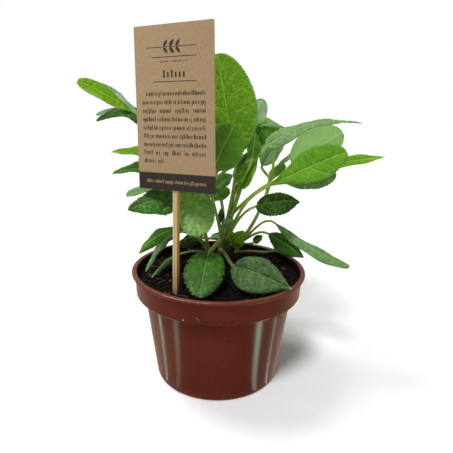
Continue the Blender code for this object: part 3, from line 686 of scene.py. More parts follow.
LEAVES = {
    "shoot_left": [
        Leaf("far_left_high", 4.6, (-52, 1, 165), (-83.6, -8, 183), 11, (-20, 40), 1, 0,
             (2, 2, 0), 18, -30, "tongue", tooth=0.6, crinkle=0.3),
        Leaf("far_left_fold", 4.6, (-50.5, 0, 163.5), (-69.8, -5.5, 182), 5.2, (160, 20), 0.5, 0.9,
             (0, 1, 0), 10, 0, "keen"),
        Leaf("far_left_curled", 4.3, (-34, 12, 150), (-77, 5, 160.5), 16, (-10, 62), 0.35, 0.15,
             (9, 25, 0), -20, 20, "tongue", crinkle=0.7),
        Leaf("far_left_rim", 4.3, (-49, 7, 165), (-76, 1, 163.5), 3.4, (170, 10), 0.6, 0.9,
             (-1, -2, -3.5), 0, 0, "tongue"),
        Leaf("left_upper_slip", 3.2, (-36, 6, 137), (-66, -5, 142), 12, (-15, 62), 0.95, 0,
             (2, 2, 0), 15, 0, "lance", crinkle=0.3),
        Leaf("left_lower_slip", 2.8, (-38, 22, 128.2), (-72, 20, 124.9), 12, (-10, 62), 0.35, 0,
             (3, 3, 0), 12, 0, "lance", crinkle=0.7),
        Leaf("left_pale", 2.2, (-30, 10, 115.5), (-58.5, 0, 114), 11, (-20, 66), 0.6, 0.85,
             (4, 4, 0), 15, 0, "tongue"),
        Leaf("left_large", 2.4, (-24, -4, 113.5), (-54, -18, 109.3), 20, (-10, 45), 0.31, 0.1,
             (5, 5, 0), -12, 0, "keen", crinkle=2),
        # On this leaf greyer paints the lower half paler, a painted highlight, and the upper half
        # greener, painted shade.
        Leaf("hanging", 3.4, (-17, -6, 123.5), (-12.5, -24, 96), 23.5, (5, 32), 0.74, 0.42,
             (1, -3, 0), -8, 0, "hung", tooth=1.2, crinkle=1.9, greyer=0.9),
        Leaf("left_arching", 1.15, (-24, 22, 88), (-53, 10, 73), 14, (-10, 60), 0.4, 0,
             (7, 9, 0), -15, 0, "lance"),
        Leaf("left_low", 1.9, (-28, 6, 89), (-45, -12, 69), 5.5, (-40, 25), 0.2, 0.6,
             (6, 5, 0), -20, 0, "oblong"),
        # Its tone near 0 is painted shade, because it hangs low inside the pot.
        Leaf("left_lowest", 1.1, (-24, -1, 77.5), (-41, -14, 66), 5, (-50, 30), 0.05, 0.1,
             (4, 3, 0), -20, 0, "oblong", crinkle=1.4),
        Leaf("left_bud", 3.2, (-20, 2, 116), (-28, 8, 120), 8, (0, 45), 0.8, 0, (1, 1, 0)),
        Leaf("rear_left_low", 2.6, (-28, 34, 105), (-56, 44, 103), 18, (180, 65), 0.45, 0.1,
             (4, 3, 0), -10),
        Leaf("top_front", 5, (-25, 8, 152), (-31, 16, 190), 20, (-10, 15), 0.8, 0,
             (2, 3, 0), 8),
        Leaf("top_rear", 4.9, (-30, 18, 148), (-40, 36, 172), 20, (160, 35), 0.7, 0.1,
             (2, 3, 0), 8, 0, "oblong"),
    ],
    "shoot_main": [
        # On this leaf greyer paints a pale sky sheen on the lower part of the blade.
        Leaf("front_facing", 2, (-6.6, -1, 78), (-10.8, -38, 64.4), 23.4, (0, 60), 0.28, 0.1,
             (6, 2, 0), -6, 0, "blunt", (0.9, 6, 0), 2.6, 1.8, stalk=1.5, greyer=0.35),
        Leaf("front_right", 1.5, (9.7, -1.7, 69.7), (41, -37.8, 70.4), 23.6, (-30, 44), 0.12, 0.36,
             (6.3, 1.9, 0), 15, 0, "heart", tooth=0.8, crinkle=1.5, skew=0.18, stalk=1.3),
        Leaf("right_hooked", 1.2, (23.5, 4, 108.5), (50, 1, 112), 16, (10, 30), 0.08, 0,
             (4, 9, 0), 18, 35, "keen", skew=0.3, crinkle=1.4),
        Leaf("right_spoon", 1, (26.5, -1, 120.5), (75, -8, 145.2), 21, (20, 35), 0.7, 0,
             (3, 3, 0), 8, 0, "spoon", crinkle=0.9),
        Leaf("right_long", 1.7, (29, 6, 146.6), (85, 0, 162), 12.5, (10, 68), 0.6, 1,
             (9, 9, -2), -8, -60, "long", crinkle=1.1, stalk=1.6),
        Leaf("tall", 1.4, (8.5, 8, 140.5), (-3.5, 12, 202), 38, (0, 10), 0.8, 0, (0, 2, 0),
             8, 0, "round", tooth=0.9, crinkle=0.9),
        Leaf("tall_front", 1.8, (-4.5, -2, 132.5), (7.5, -6, 159.5), 25, (-5, 15), 0.58, 0.05,
             (2, 2, 0), -5, 0, "round", crinkle=0.6),
        Leaf("middle", 1.9, (13.5, 9, 119), (23, 9, 139), 13, (-20, 15), 0.7, 0, (2, 2, 0),
             35, crinkle=0.5),
        Leaf("middle_left", 2.6, (11, 14, 121), (20, 12, 143), 12, (-40, 15), 0.45, 0.15,
             (2, 2, 0), 10),
        Leaf("middle_small", 3.6, (19.2, 2, 139.3), (20.6, 3, 154.6), 8.5, (10, 10), 0.35, 0,
             (1, 1, 0), crinkle=0.4),
        Leaf("right_below", 3, (40, 14, 124.5), (73, 5, 130.5), 19, (5, 34), 0.6, 0.3,
             (2, 2, 0), -12, 0, "tongue", crinkle=1.6),
        Leaf("young_low", 1.6, (8, 20, 76), (16.5, 16, 88), 11, (10, 20), 1, 0, (1, 1, 0),
             10),
        Leaf("young_high", 2.2, (1, 12, 93), (9, 11, 97), 7, (10, 50), 0.5, 0.6, (1, 2, 0),
             -20, 0, "oblong"),
        Leaf("crown_small", 1.2, (4, 20, 74), (8, 13, 80), 6, (-20, 30), 0.1, 0.1, (2, 2, 0),
             -25, crinkle=2),
        Leaf("crown_dark", 2.4, (0, 21, 92), (1, 18, 103), 5, (20, 20), 0, 0, (1, 1, 0),
             -10),
    ],
    "shoot_right": [
        Leaf("right_trailing", 2, (37, 12, 95), (82, -8, 73), 10, (20, 50), 0.5, 0.85,
             (-5, -4, 0), -20, 0, "tongue"),
        Leaf("right_dark", 1.9, (33, 14, 87), (56, 8, 73), 13, (-10, 35), 0.35, 0,
             (3, 3, 0), -15, 0, "lance"),
        Leaf("right_flat", 1, (38, 24, 71.8), (58, 22, 76), 9, (0, 70), 0.4, 0,
             (1, 1, 0), 10),
        Leaf("right_tiny", 1.7, (25, 36, 74), (31, 36, 79), 6, (0, 40), 0.3),
        Leaf("far_right", 4.6, (66, 18, 132), (107.7, 18, 140), 8.5, (0, 45), 0.85, 0,
             (2, 1, 0), 12, 0, "lance", tooth=0.6, crinkle=0.6),
        Leaf("right_turned_away", 4.9, (50, 32, 130.5), (85, 40, 154), 31, (180, 12), 0.8, 0.1,
             (3, 3, 0), 8, 0, "round", crinkle=0.2),
        Leaf("centre_turned_away", 4.8, (28, 30, 131), (42, 38, 150), 18, (180, 30), 0.6,
             0.6, (2, 2, 0), 8, 0, "tongue", crinkle=0.3),
        Leaf("behind_bright", 4.9, (35.5, 27, 145), (29, 28, 163.5), 15, (20, 30), 1, 0,
             (2, 2, 0), 8, crinkle=0.4),
        Leaf("right_bud", 4.2, (36, 20, 127), (43, 20, 133), 7, (10, 30), 0.9, 0.3),
        Leaf("rear_right", 4, (37, 50, 120), (66, 72, 138), 22, (150, 50), 0.5, 0.1,
             (4, 3, 0), 8, 0, "oblong"),
    ],
    "shoot_back": [
        Leaf("behind_tall", 4.9, (21.5, 35, 155.5), (28, 40, 175.7), 14, (180, 20), 0.3, 0.6,
             (1, 1, 0), 8, 0, "round", crinkle=0.3),
        Leaf("behind_middle", 4.6, (18, 24, 159.3), (42, 24, 157), 7.2, (-10, 55), 0.6, 0.8,
             (3, 4, 0), -15),
        Leaf("behind_dark", 4.4, (22, 22, 145.5), (29.5, 22, 161), 12, (0, 25), 0.45, 0,
             (1, 1, 0), 12, crinkle=0.5),
        Leaf("behind_low", 3.5, (1, 30, 106), (-3, 40, 115), 15, (0, 40), 0.65, 0.2,
             (1, 1, 0), 8),
        Leaf("behind_card_edge", 3.8, (-2, 32, 115), (8, 28, 124), 12, (0, 45), 0.65, 0.2,
             (1, 1, 0), 8),
        Leaf("back_left_lying", 1.6, (-12, 32, 78), (-30, 40, 70), 16, (-20, 60), 0.1, 0,
             (5, 3, 0), -10),
        Leaf("rear_drooping", 2, (6, 57, 75), (4, 86, 57), 24, (180, 60), 0.4, 0.2,
             (3, 5, 0), -10),
        Leaf("rear_middle", 3.4, (-12, 54, 98), (-30, 80, 105), 20, (195, 60), 0.3, 0.1,
             (5, 4, 0), 8),
        Leaf("rear_right_high", 4.2, (28, 60, 136), (56, 82, 150), 20, (160, 45), 0.6, 0.1,
             (4, 4, 0), 8, 0, "oblong"),
        Leaf("rear_tall", 5, (0, 55, 132), (6, 66, 178), 28, (180, 35), 0.7, 0.05,
             (2, 3, 0), 10),
        Leaf("rear_left", 4.8, (-22, 48, 126), (-46, 68, 148), 24, (210, 45), 0.5, 0.1,
             (4, 3, 0), 10, 0, "oblong"),
    ],
}



def unit(v):
    v = np.asarray(v, dtype=float)
    return v / np.linalg.norm(v)


def direction(heading, height):
    """The way towards that heading, 0 to the front, and height, in degrees."""
    heading, height = math.radians(heading), math.radians(height)
    return (math.sin(heading) * math.cos(height), -math.cos(heading) * math.cos(height),
            math.sin(height))


def bezier(p, t):
    """Points of a cubic curve, and its slopes there."""
    t = np.asarray(t, dtype=float)[..., None]
    s = 1.0 - t
    return (s**3 * p[0] + 3 * s * s * t * p[1] + 3 * s * t * t * p[2] + t**3 * p[3],
            3 * s * s * (p[1] - p[0]) + 6 * s * t * (p[2] - p[1]) + 3 * t * t * (p[3] - p[2]))


def stem_point(stem, at):
    """A smooth curve through the stem's points; at counts points from the lowest."""
    p = [np.array(q, dtype=float) * MM for q in stem]
    last = len(p) - 1
    i = min(int(at), last - 1)
    t = at - i
    before = p[i - 1] if i > 0 else 2 * p[0] - p[1]
    after = p[i + 2] if i + 2 <= last else 2 * p[last] - p[last - 1]
    a, b = p[i], p[i + 1]
    return 0.5 * (2 * a + (b - before) * t + (2 * before - 5 * a + 4 * b - after) * t * t
                  + (3 * a - before - 3 * b + after) * t**3)


def blade_frame(leaf, u):
    """Midrib points with the along, side and up directions at each station u."""
    base, tip = np.array(leaf.base) * MM, np.array(leaf.tip) * MM
    face = np.array(direction(*leaf.face))
    chord = unit(tip - base)
    side = unit(np.cross(chord, face))
    normal = np.cross(side, chord)
    near, far, across = (b * MM for b in leaf.bow)
    p = [base, base + (tip - base) / 3 + normal * near + side * across,
         base + (tip - base) * 2 / 3 + normal * far + side * across, tip]
    middle, slope = bezier(p, u)
    slope /= np.linalg.norm(slope, axis=-1, keepdims=True)
    angle = np.radians(leaf.twist) * (np.asarray(u) - 0.5)
    c, s = np.cos(angle)[:, None], np.sin(angle)[:, None]
    up = face * c + np.cross(chord, face) * s + chord * np.dot(chord, face) * (1.0 - c)
    sides = np.cross(slope, up)
    sides /= np.linalg.norm(sides, axis=1, keepdims=True)
    return middle, slope, sides, np.cross(sides, slope)


def half_width(leaf, u):
    """Half width of the outline, without its teeth, closing to a narrow end."""
    peak, base_power, tip_power = FORMS[leaf.form]
    u = np.clip(u, 0.0005, 0.9995)
    power = base_power * (1 - u) + tip_power * u
    shape = np.sin(math.pi * u ** (math.log(0.5) / math.log(peak))) ** power
    return np.maximum(leaf.width * MM / 2 * shape, 0.25 * MM)


def edge_wave(leaf, u, right):
    """How far the edge waves up and down, before it fades out towards the ends."""
    height, count, start = leaf.wave
    return height * MM * np.sin(math.tau * count * u + start + np.where(right, 1.9, 0.0))


def stations(leaf, pitch):
    """Stations along the midrib, four to each tooth, evenly spaced along the edge."""
    u = np.linspace(0.0, 1.0, 801)
    middle, _, sides, _ = blade_frame(leaf, u)
    edge = middle + sides * half_width(leaf, u)[:, None]
    run = np.r_[0.0, np.cumsum(np.linalg.norm(np.diff(edge, axis=0), axis=1))]
    teeth = max(6, round(run[-1] / pitch))
    return np.interp(np.linspace(0.0, run[-1], 4 * teeth + 1), run, u)


def blade_points(leaf, u, v, settings, rng):
    """Points of the blade on a grid of stations u and columns v, and what its patterns need."""
    middle, _, sides, normals = blade_frame(leaf, u)
    half = half_width(leaf, u)
    fold = math.radians(leaf.cup)
    size = np.linalg.norm(np.array(leaf.tip) - np.array(leaf.base))
    small = min(1.0, leaf.width / 16.0)
    k = np.arange(len(u))
    # Teeth along both edges, four stations each and half a tooth apart, unequally strong.
    teeth = []
    for shift in (0, 2):
        profile = np.array([0.0, 0.75, 1.0, 0.75])[(k + shift) % 4]
        strength = rng.uniform(0.7, 1.25, len(u) // 4 + 2)[(k + shift) // 4]
        fade = np.clip(half / (2.5 * MM), 0.0, 1.0)
        teeth.append(settings.tooth_height * leaf.tooth * small * fade
                     * (profile * strength - 0.6))
    uu, vv = u[:, None], v[None, :]
    out_to = np.abs(vv)
    across = half[:, None] * vv * (1.0 + leaf.skew * np.sign(vv))
    edge_pull = np.where(vv < 0, teeth[0][:, None], teeth[1][:, None])
    out = across + np.sign(vv) * edge_pull * out_to ** 7
    x = across / MM
    y = np.broadcast_to(uu * size, x.shape)
    # phase counts the side veins, which run outwards and forwards from the midrib.
    veins = max(3, round(size * MM / (settings.vein_pitch * max(0.5, leaf.width / 20.0))))
    sway = rng.uniform(0.0, 6.0, 3)
    phase = veins * (uu - (0.72 * np.abs(x) + 0.018 * x * x) / size) + np.where(x > 0, 0.5, 0.0)
    phase = phase + 0.12 * np.sin(1.7 * uu * veins + sway[0]) + 0.12 * np.sin(0.5 * x + sway[1])
    between = np.abs(np.sin(math.pi * phase))
    body = np.clip(np.abs(x) / 1.6, 0.0, 1.0) * (1.0 - out_to ** 4)
    rough = leaf.crinkle * small
    # Side veins end before the edge, so their creases fade out there.
    bulge = 1.0 - (1.0 - between ** 0.7) * (1.0 - out_to ** 3)
    relief = settings.quilt * rough * bulge * body
    # The midrib lies in a groove, the edge turns down, and its teeth turn up again.
    relief -= 0.2 * MM * small * np.exp(-(x / 0.6) ** 2) * (1.0 - 0.6 * uu)
    relief -= 0.45 * MM * small * out_to ** 6
    relief += 0.3 * edge_pull * out_to ** 5
    # One slow wave runs over the whole blade.
    turn = rng.uniform(0.0, 6.0)
    relief += 0.25 * MM * rough * np.sin(0.45 * x + 0.35 * y + turn) * body
    # Pebbles: rounded cells, a little longer than wide, flatter by the midrib.
    pitch = settings.pebble_pitch / MM * (0.6 + 0.4 * small)
    far = 100.0 * rng.random()
    cells = np.array([[noise.voronoi((0.8 * a / pitch + far, 1.1 * b / pitch, 0.0))[0][:2]
                       for a, b in zip(*row)] for row in zip(x, y)])
    round_top = 1.0 - np.clip(cells[..., 0] / 0.85, 0.0, 1.0) ** 2
    outer = 0.35 + 0.65 * np.clip(out_to * 1.4, 0.0, 1.0)
    relief += settings.pebble * rough * round_top * outer * np.clip(body + 0.3, 0.0, 1.0)
    dome = np.clip((cells[..., 1] - cells[..., 0]) / 0.65, 0.0, 1.0) ** 0.7
    wave = edge_wave(leaf, uu, vv > 0) * np.sin(math.pi * uu)
    lift = out_to * (half[:, None] * math.sin(fold) + wave) + relief
    points = (middle[:, None, :] + sides[:, None, :] * (out * math.cos(fold))[..., None]
              + normals[:, None, :] * lift[..., None])
    return points, phase, dome, x, y


def make_blade(leaf, settings, seed):
    """A grid laid along the leaf's midrib and thickened."""
    u = stations(leaf, settings.tooth_pitch * (0.5 + 0.5 * leaf.tooth))
    columns, rows = max(8, 2 * round(leaf.width / 1.3)), len(u) - 1
    v = np.linspace(-1.0, 1.0, columns + 1)
    rng = np.random.default_rng(seed)
    points, phase, dome, x, y = blade_points(leaf, u, v, settings, rng)
    obj = new_object(bpy.ops.mesh.primitive_grid_add, x_subdivisions=columns,
                     y_subdivisions=rows, size=2.0)
    mesh = obj.data
    column, row = (np.rint((part + 1.0) / 2.0 * count).astype(int)
                   for part, count in zip(coordinates(mesh).T, (columns, rows)))
    mesh.vertices.foreach_set("co", points[row, column].ravel())
    # greyer raises the grey towards the tip and lowers it towards the base: a painted sheen of sky
    # light, drawn with the down.
    grey = np.clip(leaf.grey + leaf.greyer * (u[row] - 0.5), 0.0, 1.0)
    for name, values in (("vein", phase[row, column]), ("dome", dome[row, column]),
                         ("tone", leaf.tone), ("grey", grey), ("seed", 37.0 * (seed % 97)),
                         ("crinkle", leaf.crinkle)):
        float_layer(mesh, name, np.broadcast_to(values, len(row)))
    corner = np.empty(len(mesh.loops), dtype=int)
    mesh.loops.foreach_get("vertex_index", corner)
    drop_maps(mesh)
    for name, first, second in (("leaf_mm", x, y), ("leaf_span", v[None, :], u[:, None])):
        both = [np.broadcast_to(part, x.shape)[row, column] for part in (first, second)]
        uv = np.stack(both, axis=1)[corner]
        layer = mesh.uv_layers.new(name=name)
        layer.data.foreach_set("uv", uv.astype(np.float32).ravel())
    obj.name = leaf.name
    for skin in (sage_leaf_upper(), sage_leaf_underside()):
        mesh.materials.append(skin)
    normals = blade_frame(leaf, np.array([0.5]))[3]
    mesh.update()
    centre = mesh.polygons[len(mesh.polygons) // 2]
    if np.dot(centre.normal, normals[0]) < 0.0:
        mesh.flip_normals()
    mesh.shade_smooth()
    modify(obj, "SOLIDIFY", thickness=settings.blade, offset=0.0, material_offset=1,
           material_offset_rim=0)
    return obj


def curve_tube(name, points, radii, sides=2, section=None):
    """A curve through the points (here, before, after), round or with a section, as a mesh."""
    curve = new_object(bpy.ops.curve.primitive_bezier_curve_add).data
    spline = curve.splines[0]
    spline.bezier_points.add(len(points) - 2)
    for point, (here, before, after), radius in zip(spline.bezier_points, points, radii):
        point.handle_left_type = point.handle_right_type = "FREE"
        point.co, point.handle_left, point.handle_right = here, before, after
        point.radius = radius
    curve.dimensions = "3D"
    curve.resolution_u = 8
    curve.twist_mode = "MINIMUM"
    if section:
        curve.bevel_mode, curve.bevel_object = "OBJECT", section
    else:
        curve.bevel_depth, curve.bevel_resolution = 1.0, sides
    curve.use_fill_caps = True
    bpy.ops.object.convert(target="MESH")
    obj = bpy.context.view_layer.objects.active
    obj.name = name
    obj.data.shade_smooth()
    return obj


def bit_of_fibre(name, ends, radii):
    """A thin bent bit through three points."""
    way = ends[2] - ends[0]
    return curve_tube(name, [(e, e - way / 6, e + way / 6) for e in ends],
                      [r * MM for r in radii], 0)


def stalk_curve(leaf, stem):
    """Points (here, before, after) and radii: out of the stem, and on as the midrib's rib."""
    at = min(leaf.at, len(stem) - 1.01)
    root = stem_point(stem, at)
    ahead = unit(stem_point(stem, min(at + 0.15, len(stem) - 1)) - root)
    middle, slope, _, normals = blade_frame(leaf, np.array([0.0, 0.12, 0.45, 0.86]))
    long = np.linalg.norm(np.array(leaf.tip) - np.array(leaf.base)) * MM
    base = middle[0]
    span = np.linalg.norm(base - root)
    leave = unit(ahead * 0.3 + unit(base - root) * 0.9)
    small = min(1.0, max(0.45, leaf.width / 18.0))
    points = [(root, root - leave * span * 0.1, root + leave * span * 0.4)]
    # How far the rib lies under the blade, and its steps along it.
    below = [0.45 * MM, 0.75 * MM, 0.55 * MM, 0.32 * MM]
    steps = [0.0, 0.12, 0.33, 0.41]
    for i in range(4):
        here = middle[i] - normals[i] * below[i] * small
        back = span * 0.28 if i == 0 else long * steps[i] / 3.0
        on = long * steps[i + 1] / 3.0 if i < 3 else 0.5 * MM
        points.append((here, here - slope[i] * back, here + slope[i] * on))
    radii = [r * MM * (0.55 + 0.45 * small) * (leaf.stalk if r > 0.7 else 1.0)
             for r in (1.15, 0.9, 0.6, 0.4, 0.16)]
    return points, radii


# ---------------------------------------------------------------- operators


# Low strips of light beside the pot: name, inner ends, outer ends (mm), share of the light
# at the outer end, and how much of that is left at the inner end
STRIPS = (
    ("left_far", ((-33.6, -23.6), (-33.6, -22.8)), ((-98.5, -3.4), (-97.6, 1.0)), 0.55, 0.5),
    ("left_near", ((-25.9, -33.3), (-27.0, -30.8)), ((-78.5, -57.5), (-84.5, -47.0)), 0.2, 0.25),
    ("right_near", ((24.2, -33.5), (25.6, -30.4)), ((77.0, -58.5), (84.3, -46.0)), 0.5, 0.3),
    ("right_far", ((32.2, -23.8), (32.2, -22.9)), ((94.8, -4.5), (94.3, -0.6)), 0.32, 1.0),
)


class SALVIA_OT_studio(bpy.types.Operator):
    """White floor, pale room, soft lights and the camera"""
    bl_idname = "salvia.studio"
    bl_label = "Studio"

    def execute(self, context):
        scene = context.scene
        studio = scene.salvia_studio
        floor = new_object(bpy.ops.mesh.primitive_plane_add, size=8.0, location=(0, 0, FLOOR_Z))
        floor.name = "floor"
        floor.data.materials.append(matt_white_floor())
        floor.visible_glossy = False
        scene.world = bpy.data.worlds.new("pale_room")
        scene.world.use_nodes = True
        tree = scene.world.node_tree
        tree.nodes.clear()
        # Glossy surfaces mirror a room that is dark in front and warm and light behind.
        way = add(tree, "SeparateXYZ", add(tree, "TexCoord").outputs["Generated"]).outputs["Y"]
        back = add(tree, "MapRange", way, -0.3, 0.6, studio.world * 0.38, studio.world * 1.6)
        mirrored = add(tree, "Background", "#ffdcc4", back)
        rays = add(tree, "LightPath").outputs
        room = add(tree, "Background", "#f8f8f6", studio.world)
        room = add(tree, "MixShader", rays["Is Glossy Ray"], room, mirrored)
        seen = add(tree, "Background", "#ffffff", 1.0)
        room = add(tree, "MixShader", rays["Is Camera Ray"], room, seen)
        add(tree, "OutputWorld", room)
        for name, heading, height, spread, strength in (
                ("key_light", -24.0, 56.0, 15.0, studio.key),
                ("top_light", -115.0, 62.0, 22.0, studio.top)):
            data = bpy.data.lights.new(name, "SUN")
            data.angle, data.energy = math.radians(spread), strength
            lamp = bpy.data.objects.new(name, data)
            scene.collection.objects.link(lamp)
            way = Vector(direction(heading, height))
            lamp.rotation_euler = way.to_track_quat("Z", "Y").to_euler()
        for name, inner, outer, share, foot in STRIPS:
            strip = new_object(bpy.ops.mesh.primitive_plane_add, size=1.0)
            corners = (inner[0], outer[0], inner[1], outer[1])
            for vert, (x, y) in zip(strip.data.vertices, corners):
                vert.co = (x * MM, y * MM, 0.3 * MM)
            strip.name = "strip_light_" + name
            strip.data.materials.append(strip_lamp(name, studio.strips * share, foot))
            strip.visible_camera = strip.visible_diffuse = strip.visible_shadow = False
        data = bpy.data.cameras.new("camera")
        data.sensor_width, data.lens = 36.0, studio.focal
        data.shift_y, data.clip_start = CAMERA_SHIFT, 10.0 * MM
        scene.camera = bpy.data.objects.new("camera", data)
        scene.collection.objects.link(scene.camera)
        ahead = Vector((math.sin(CAMERA_YAW) * math.cos(CAMERA_PITCH),
                        math.cos(CAMERA_YAW) * math.cos(CAMERA_PITCH), -math.sin(CAMERA_PITCH)))
        right = ahead.cross(Vector((0.0, 0.0, 1.0))).normalized()
        up = right.cross(ahead)
        c, s = math.cos(CAMERA_ROLL), math.sin(CAMERA_ROLL)
        turn = Matrix((right * c + up * s, -right * s + up * c, -ahead)).transposed().to_4x4()
        place = Matrix.Translation((0.0, -studio.distance, studio.camera_height))
        scene.camera.matrix_world = place @ turn
        scene.view_settings.view_transform = "Standard"
        return {"FINISHED"}


def rounded(profile, radius):
    """The (r, z) profile with each corner replaced by a short curve of about that radius."""
    p = [np.array(q, dtype=float) for q in profile]
    made = [p[0]]
    for before, here, after in zip(p[:-2], p[1:-1], p[2:]):
        start, end = (here + unit(way) * min(radius, np.linalg.norm(way) * 0.42)
                      for way in (before - here, after - here))
        for t in (0.0, 0.5, 1.0):
            made.append((1 - t) ** 2 * start + 2 * t * (1 - t) * here + t * t * end)
    return made + [p[-1]]


class SALVIA_OT_pot(bpy.types.Operator):
    """The moulded pot: a disc extruded round its profile and drilled for drainage"""
    bl_idname = "salvia.pot"
    bl_label = "Pot"

    def execute(self, context):
        pot = context.scene.salvia_pot
        h, rim = pot.height / MM, pot.rim_radius / MM
        step, wall = h - pot.band_height / MM, pot.wall / MM
        low, top = rim - 2.8, rim - 2.1
        waist, floor_z = 47.0, 3.2
        # (r, z) in mm: the underside from within, the outside, the lip, the inside, its floor
        profile = rounded([
            (20.0, 0.0), (21.4, 1.6), (33.2, 1.6), (34.6, 0.0), (37.7, 0.0), (38.7, 0.4),
            (39.2, 1.5), (waist, step - 0.4), (waist + 0.5, step), (low - 0.5, step),
            (low, step + 0.5), (top, h - 2.3), (rim - 0.5, h - 2.1), (rim, h - 1.6),
            (rim, h - 0.5), (rim - 0.5, h), (top - wall + 0.6, h), (top - wall, h - 0.6),
            (low - wall, step + wall), (waist - wall, step + wall - 0.3),
            (39.3 - wall, floor_z), (10.0, floor_z)],
            radius=0.45)
        shell = new_object(bpy.ops.mesh.primitive_circle_add, vertices=pot.sides,
                           radius=profile[0][0] * MM, fill_type="NGON")
        edit(shell, "FACE")
        for (r0, z0), (r1, z1) in zip(profile[:-1], profile[1:]):
            step_ring(r0, r1, (z1 - z0) * MM)
        outward()
        leave_edit()
        holes, hole_radius, hole_ring = 8, 3.2 * MM, 27.3 * MM
        drills = []
        for k in range(holes):
            angle = math.tau * (k + 0.5) / holes
            drills.append(new_object(
                bpy.ops.mesh.primitive_cylinder_add, vertices=24, radius=hole_radius,
                depth=10.0 * MM, location=(hole_ring * math.cos(angle),
                                           hole_ring * math.sin(angle), 3.0 * MM)))
        drill = join(drills)
        modify(shell, "BOOLEAN", object=drill, operation="DIFFERENCE", solver="EXACT")
        clear_away(drill)
        smooth(shell, degrees=38.0)
        settle(shell, "pot_shell", "pot_plastic", "pot", skins=[moulded_polypropylene()])
        return {"FINISHED"}


def soil_height(x, y):
    """Top of the soil: a low mound under the stems and shallow lumps, in metres."""
    level, mound_height, spread = 61.2 * MM, 5.2 * MM, 19.0 * MM
    dx, dy = x - 3.0 * MM, y - 22.0 * MM
    mound = mound_height * math.exp(-(dx * dx + dy * dy) / (2 * spread ** 2))
    u, v = x / MM, y / MM
    lumps = 0.55 * math.sin(0.31 * u + 0.12 * v + 0.6) * math.sin(0.27 * v - 0.08 * u + 1.9)
    lumps += 0.3 * math.sin(0.63 * u - 0.41 * v + 2.2) + 0.25 * math.sin(0.52 * v + 0.47 * u)
    far = math.hypot(u, v)
    # Towards the wall the lumps fade out and the soil banks up.
    fade = max(0.0, min(1.0, (50.0 - far) / 12.0))
    near_wall = max(0.0, min(1.0, (far - 36.0) / 13.0))
    bank = 2.6 * near_wall ** 2 * (0.65 + 0.35 * (v + 0.6 * u) / 60.0)
    return level + 0.02 * y + mound + (lumps * fade + bank) * MM


class SALVIA_OT_soil(bpy.types.Operator):
    """The soil: a crumbly top on a plug that fills the pot"""
    bl_idname = "salvia.soil"
    bl_label = "Soil"

    def execute(self, context):
        pot = context.scene.salvia_pot
        top, waist, foot, foot_z = 50.9 * MM, 45.4 * MM, 37.6 * MM, 3.6 * MM
        cells = 180
        bed = new_object(bpy.ops.mesh.primitive_grid_add, x_subdivisions=cells,
                         y_subdivisions=cells, size=2.0)
        # The soil dips a little round each stem and the stick.
        sunk = [(stem[1][0] * MM, stem[1][1] * MM, 2.2 * MM) for stem in STEMS.values()]
        sunk.append((STICK_X, STICK_Y, 2.4 * MM))
        for vert in bed.data.vertices:
            a, b = vert.co.x, vert.co.y
            x, y = a * math.sqrt(1 - b * b / 2) * top, b * math.sqrt(1 - a * a / 2) * top
            place = Vector((x, y, 0.0)) * PER_MM
            # Crumbs of three sizes, in mm; the large ones only stand up.
            crumbs = 2.1 * noise.noise(place / 2.6)
            crumbs += 1.1 * noise.noise(place / 1.1 + Vector((9, 4, 2)))
            crumbs += 1.5 * max(0.0, noise.noise(place / 5.0 + Vector((3, 7, 1))))
            near_edge = (top - math.hypot(x, y)) / (3.0 * MM)
            z = soil_height(x, y) + crumbs * MM * min(1.0, max(0.25, near_edge))
            for sx, sy, reach in sunk:
                z -= 1.3 * MM * math.exp(-(math.hypot(x - sx, y - sy) / reach) ** 2)
            vert.co = (x, y, z)
        edit(bed)
        bpy.ops.mesh.region_to_loop()
        shoulder = (pot.height - pot.band_height) + 1.6 * MM
        bpy.ops.mesh.extrude_region_move()
        bpy.ops.transform.resize(value=(1.0, 1.0, 0.0), center_override=(0.0, 0.0, shoulder))
        step_ring(top, waist, -0.2 * MM)
        step_ring(waist, foot, -(shoulder - 0.2 * MM - foot_z))
        bpy.ops.mesh.edge_face_add()
        bpy.ops.mesh.select_all(action="SELECT")
        bpy.ops.mesh.normals_make_consistent(inside=False)
        leave_edit()
        bed.data.shade_smooth()
        settle(bed, "soil_bed", "potting_soil", "soil", skins=[peat_compost()])
        return {"FINISHED"}


def crumb_shape(rough, seed):
    """One low lump of about 1 mm across, as an object at the origin."""
    obj = new_object(bpy.ops.mesh.primitive_ico_sphere_add, subdivisions=1, radius=0.5 * MM)
    rng = random.Random(seed)
    for vert in obj.data.vertices:
        vert.co *= 1.0 + rng.uniform(-rough, rough)
        vert.co.z *= 0.75
    return obj


def scatter(shape, count, rng, place, size):
    """Copies of shape at places drawn by place(rng), each turned and sized at random."""
    mats = []
    for _ in range(count):
        turn = (Matrix.Rotation(rng.uniform(0, math.tau), 4, "Z")
                @ Matrix.Rotation(rng.uniform(-0.6, 0.6), 4, "X"))
        s = rng.uniform(*size)
        mats.append(Matrix.Translation(place(rng)) @ turn
                    @ Matrix.Diagonal((s, s * rng.uniform(0.7, 1.2), s, 1.0)))
    return copies(shape, mats, "scattered")


def on_soil(rng, reach=48.5, lift=0.25):
    """A place drawn at random on the soil."""
    r, a = reach * MM * math.sqrt(rng.random()), rng.uniform(0, math.tau)
    x, y = r * math.cos(a), r * math.sin(a)
    return Vector((x, y, soil_height(x, y) + lift * MM))


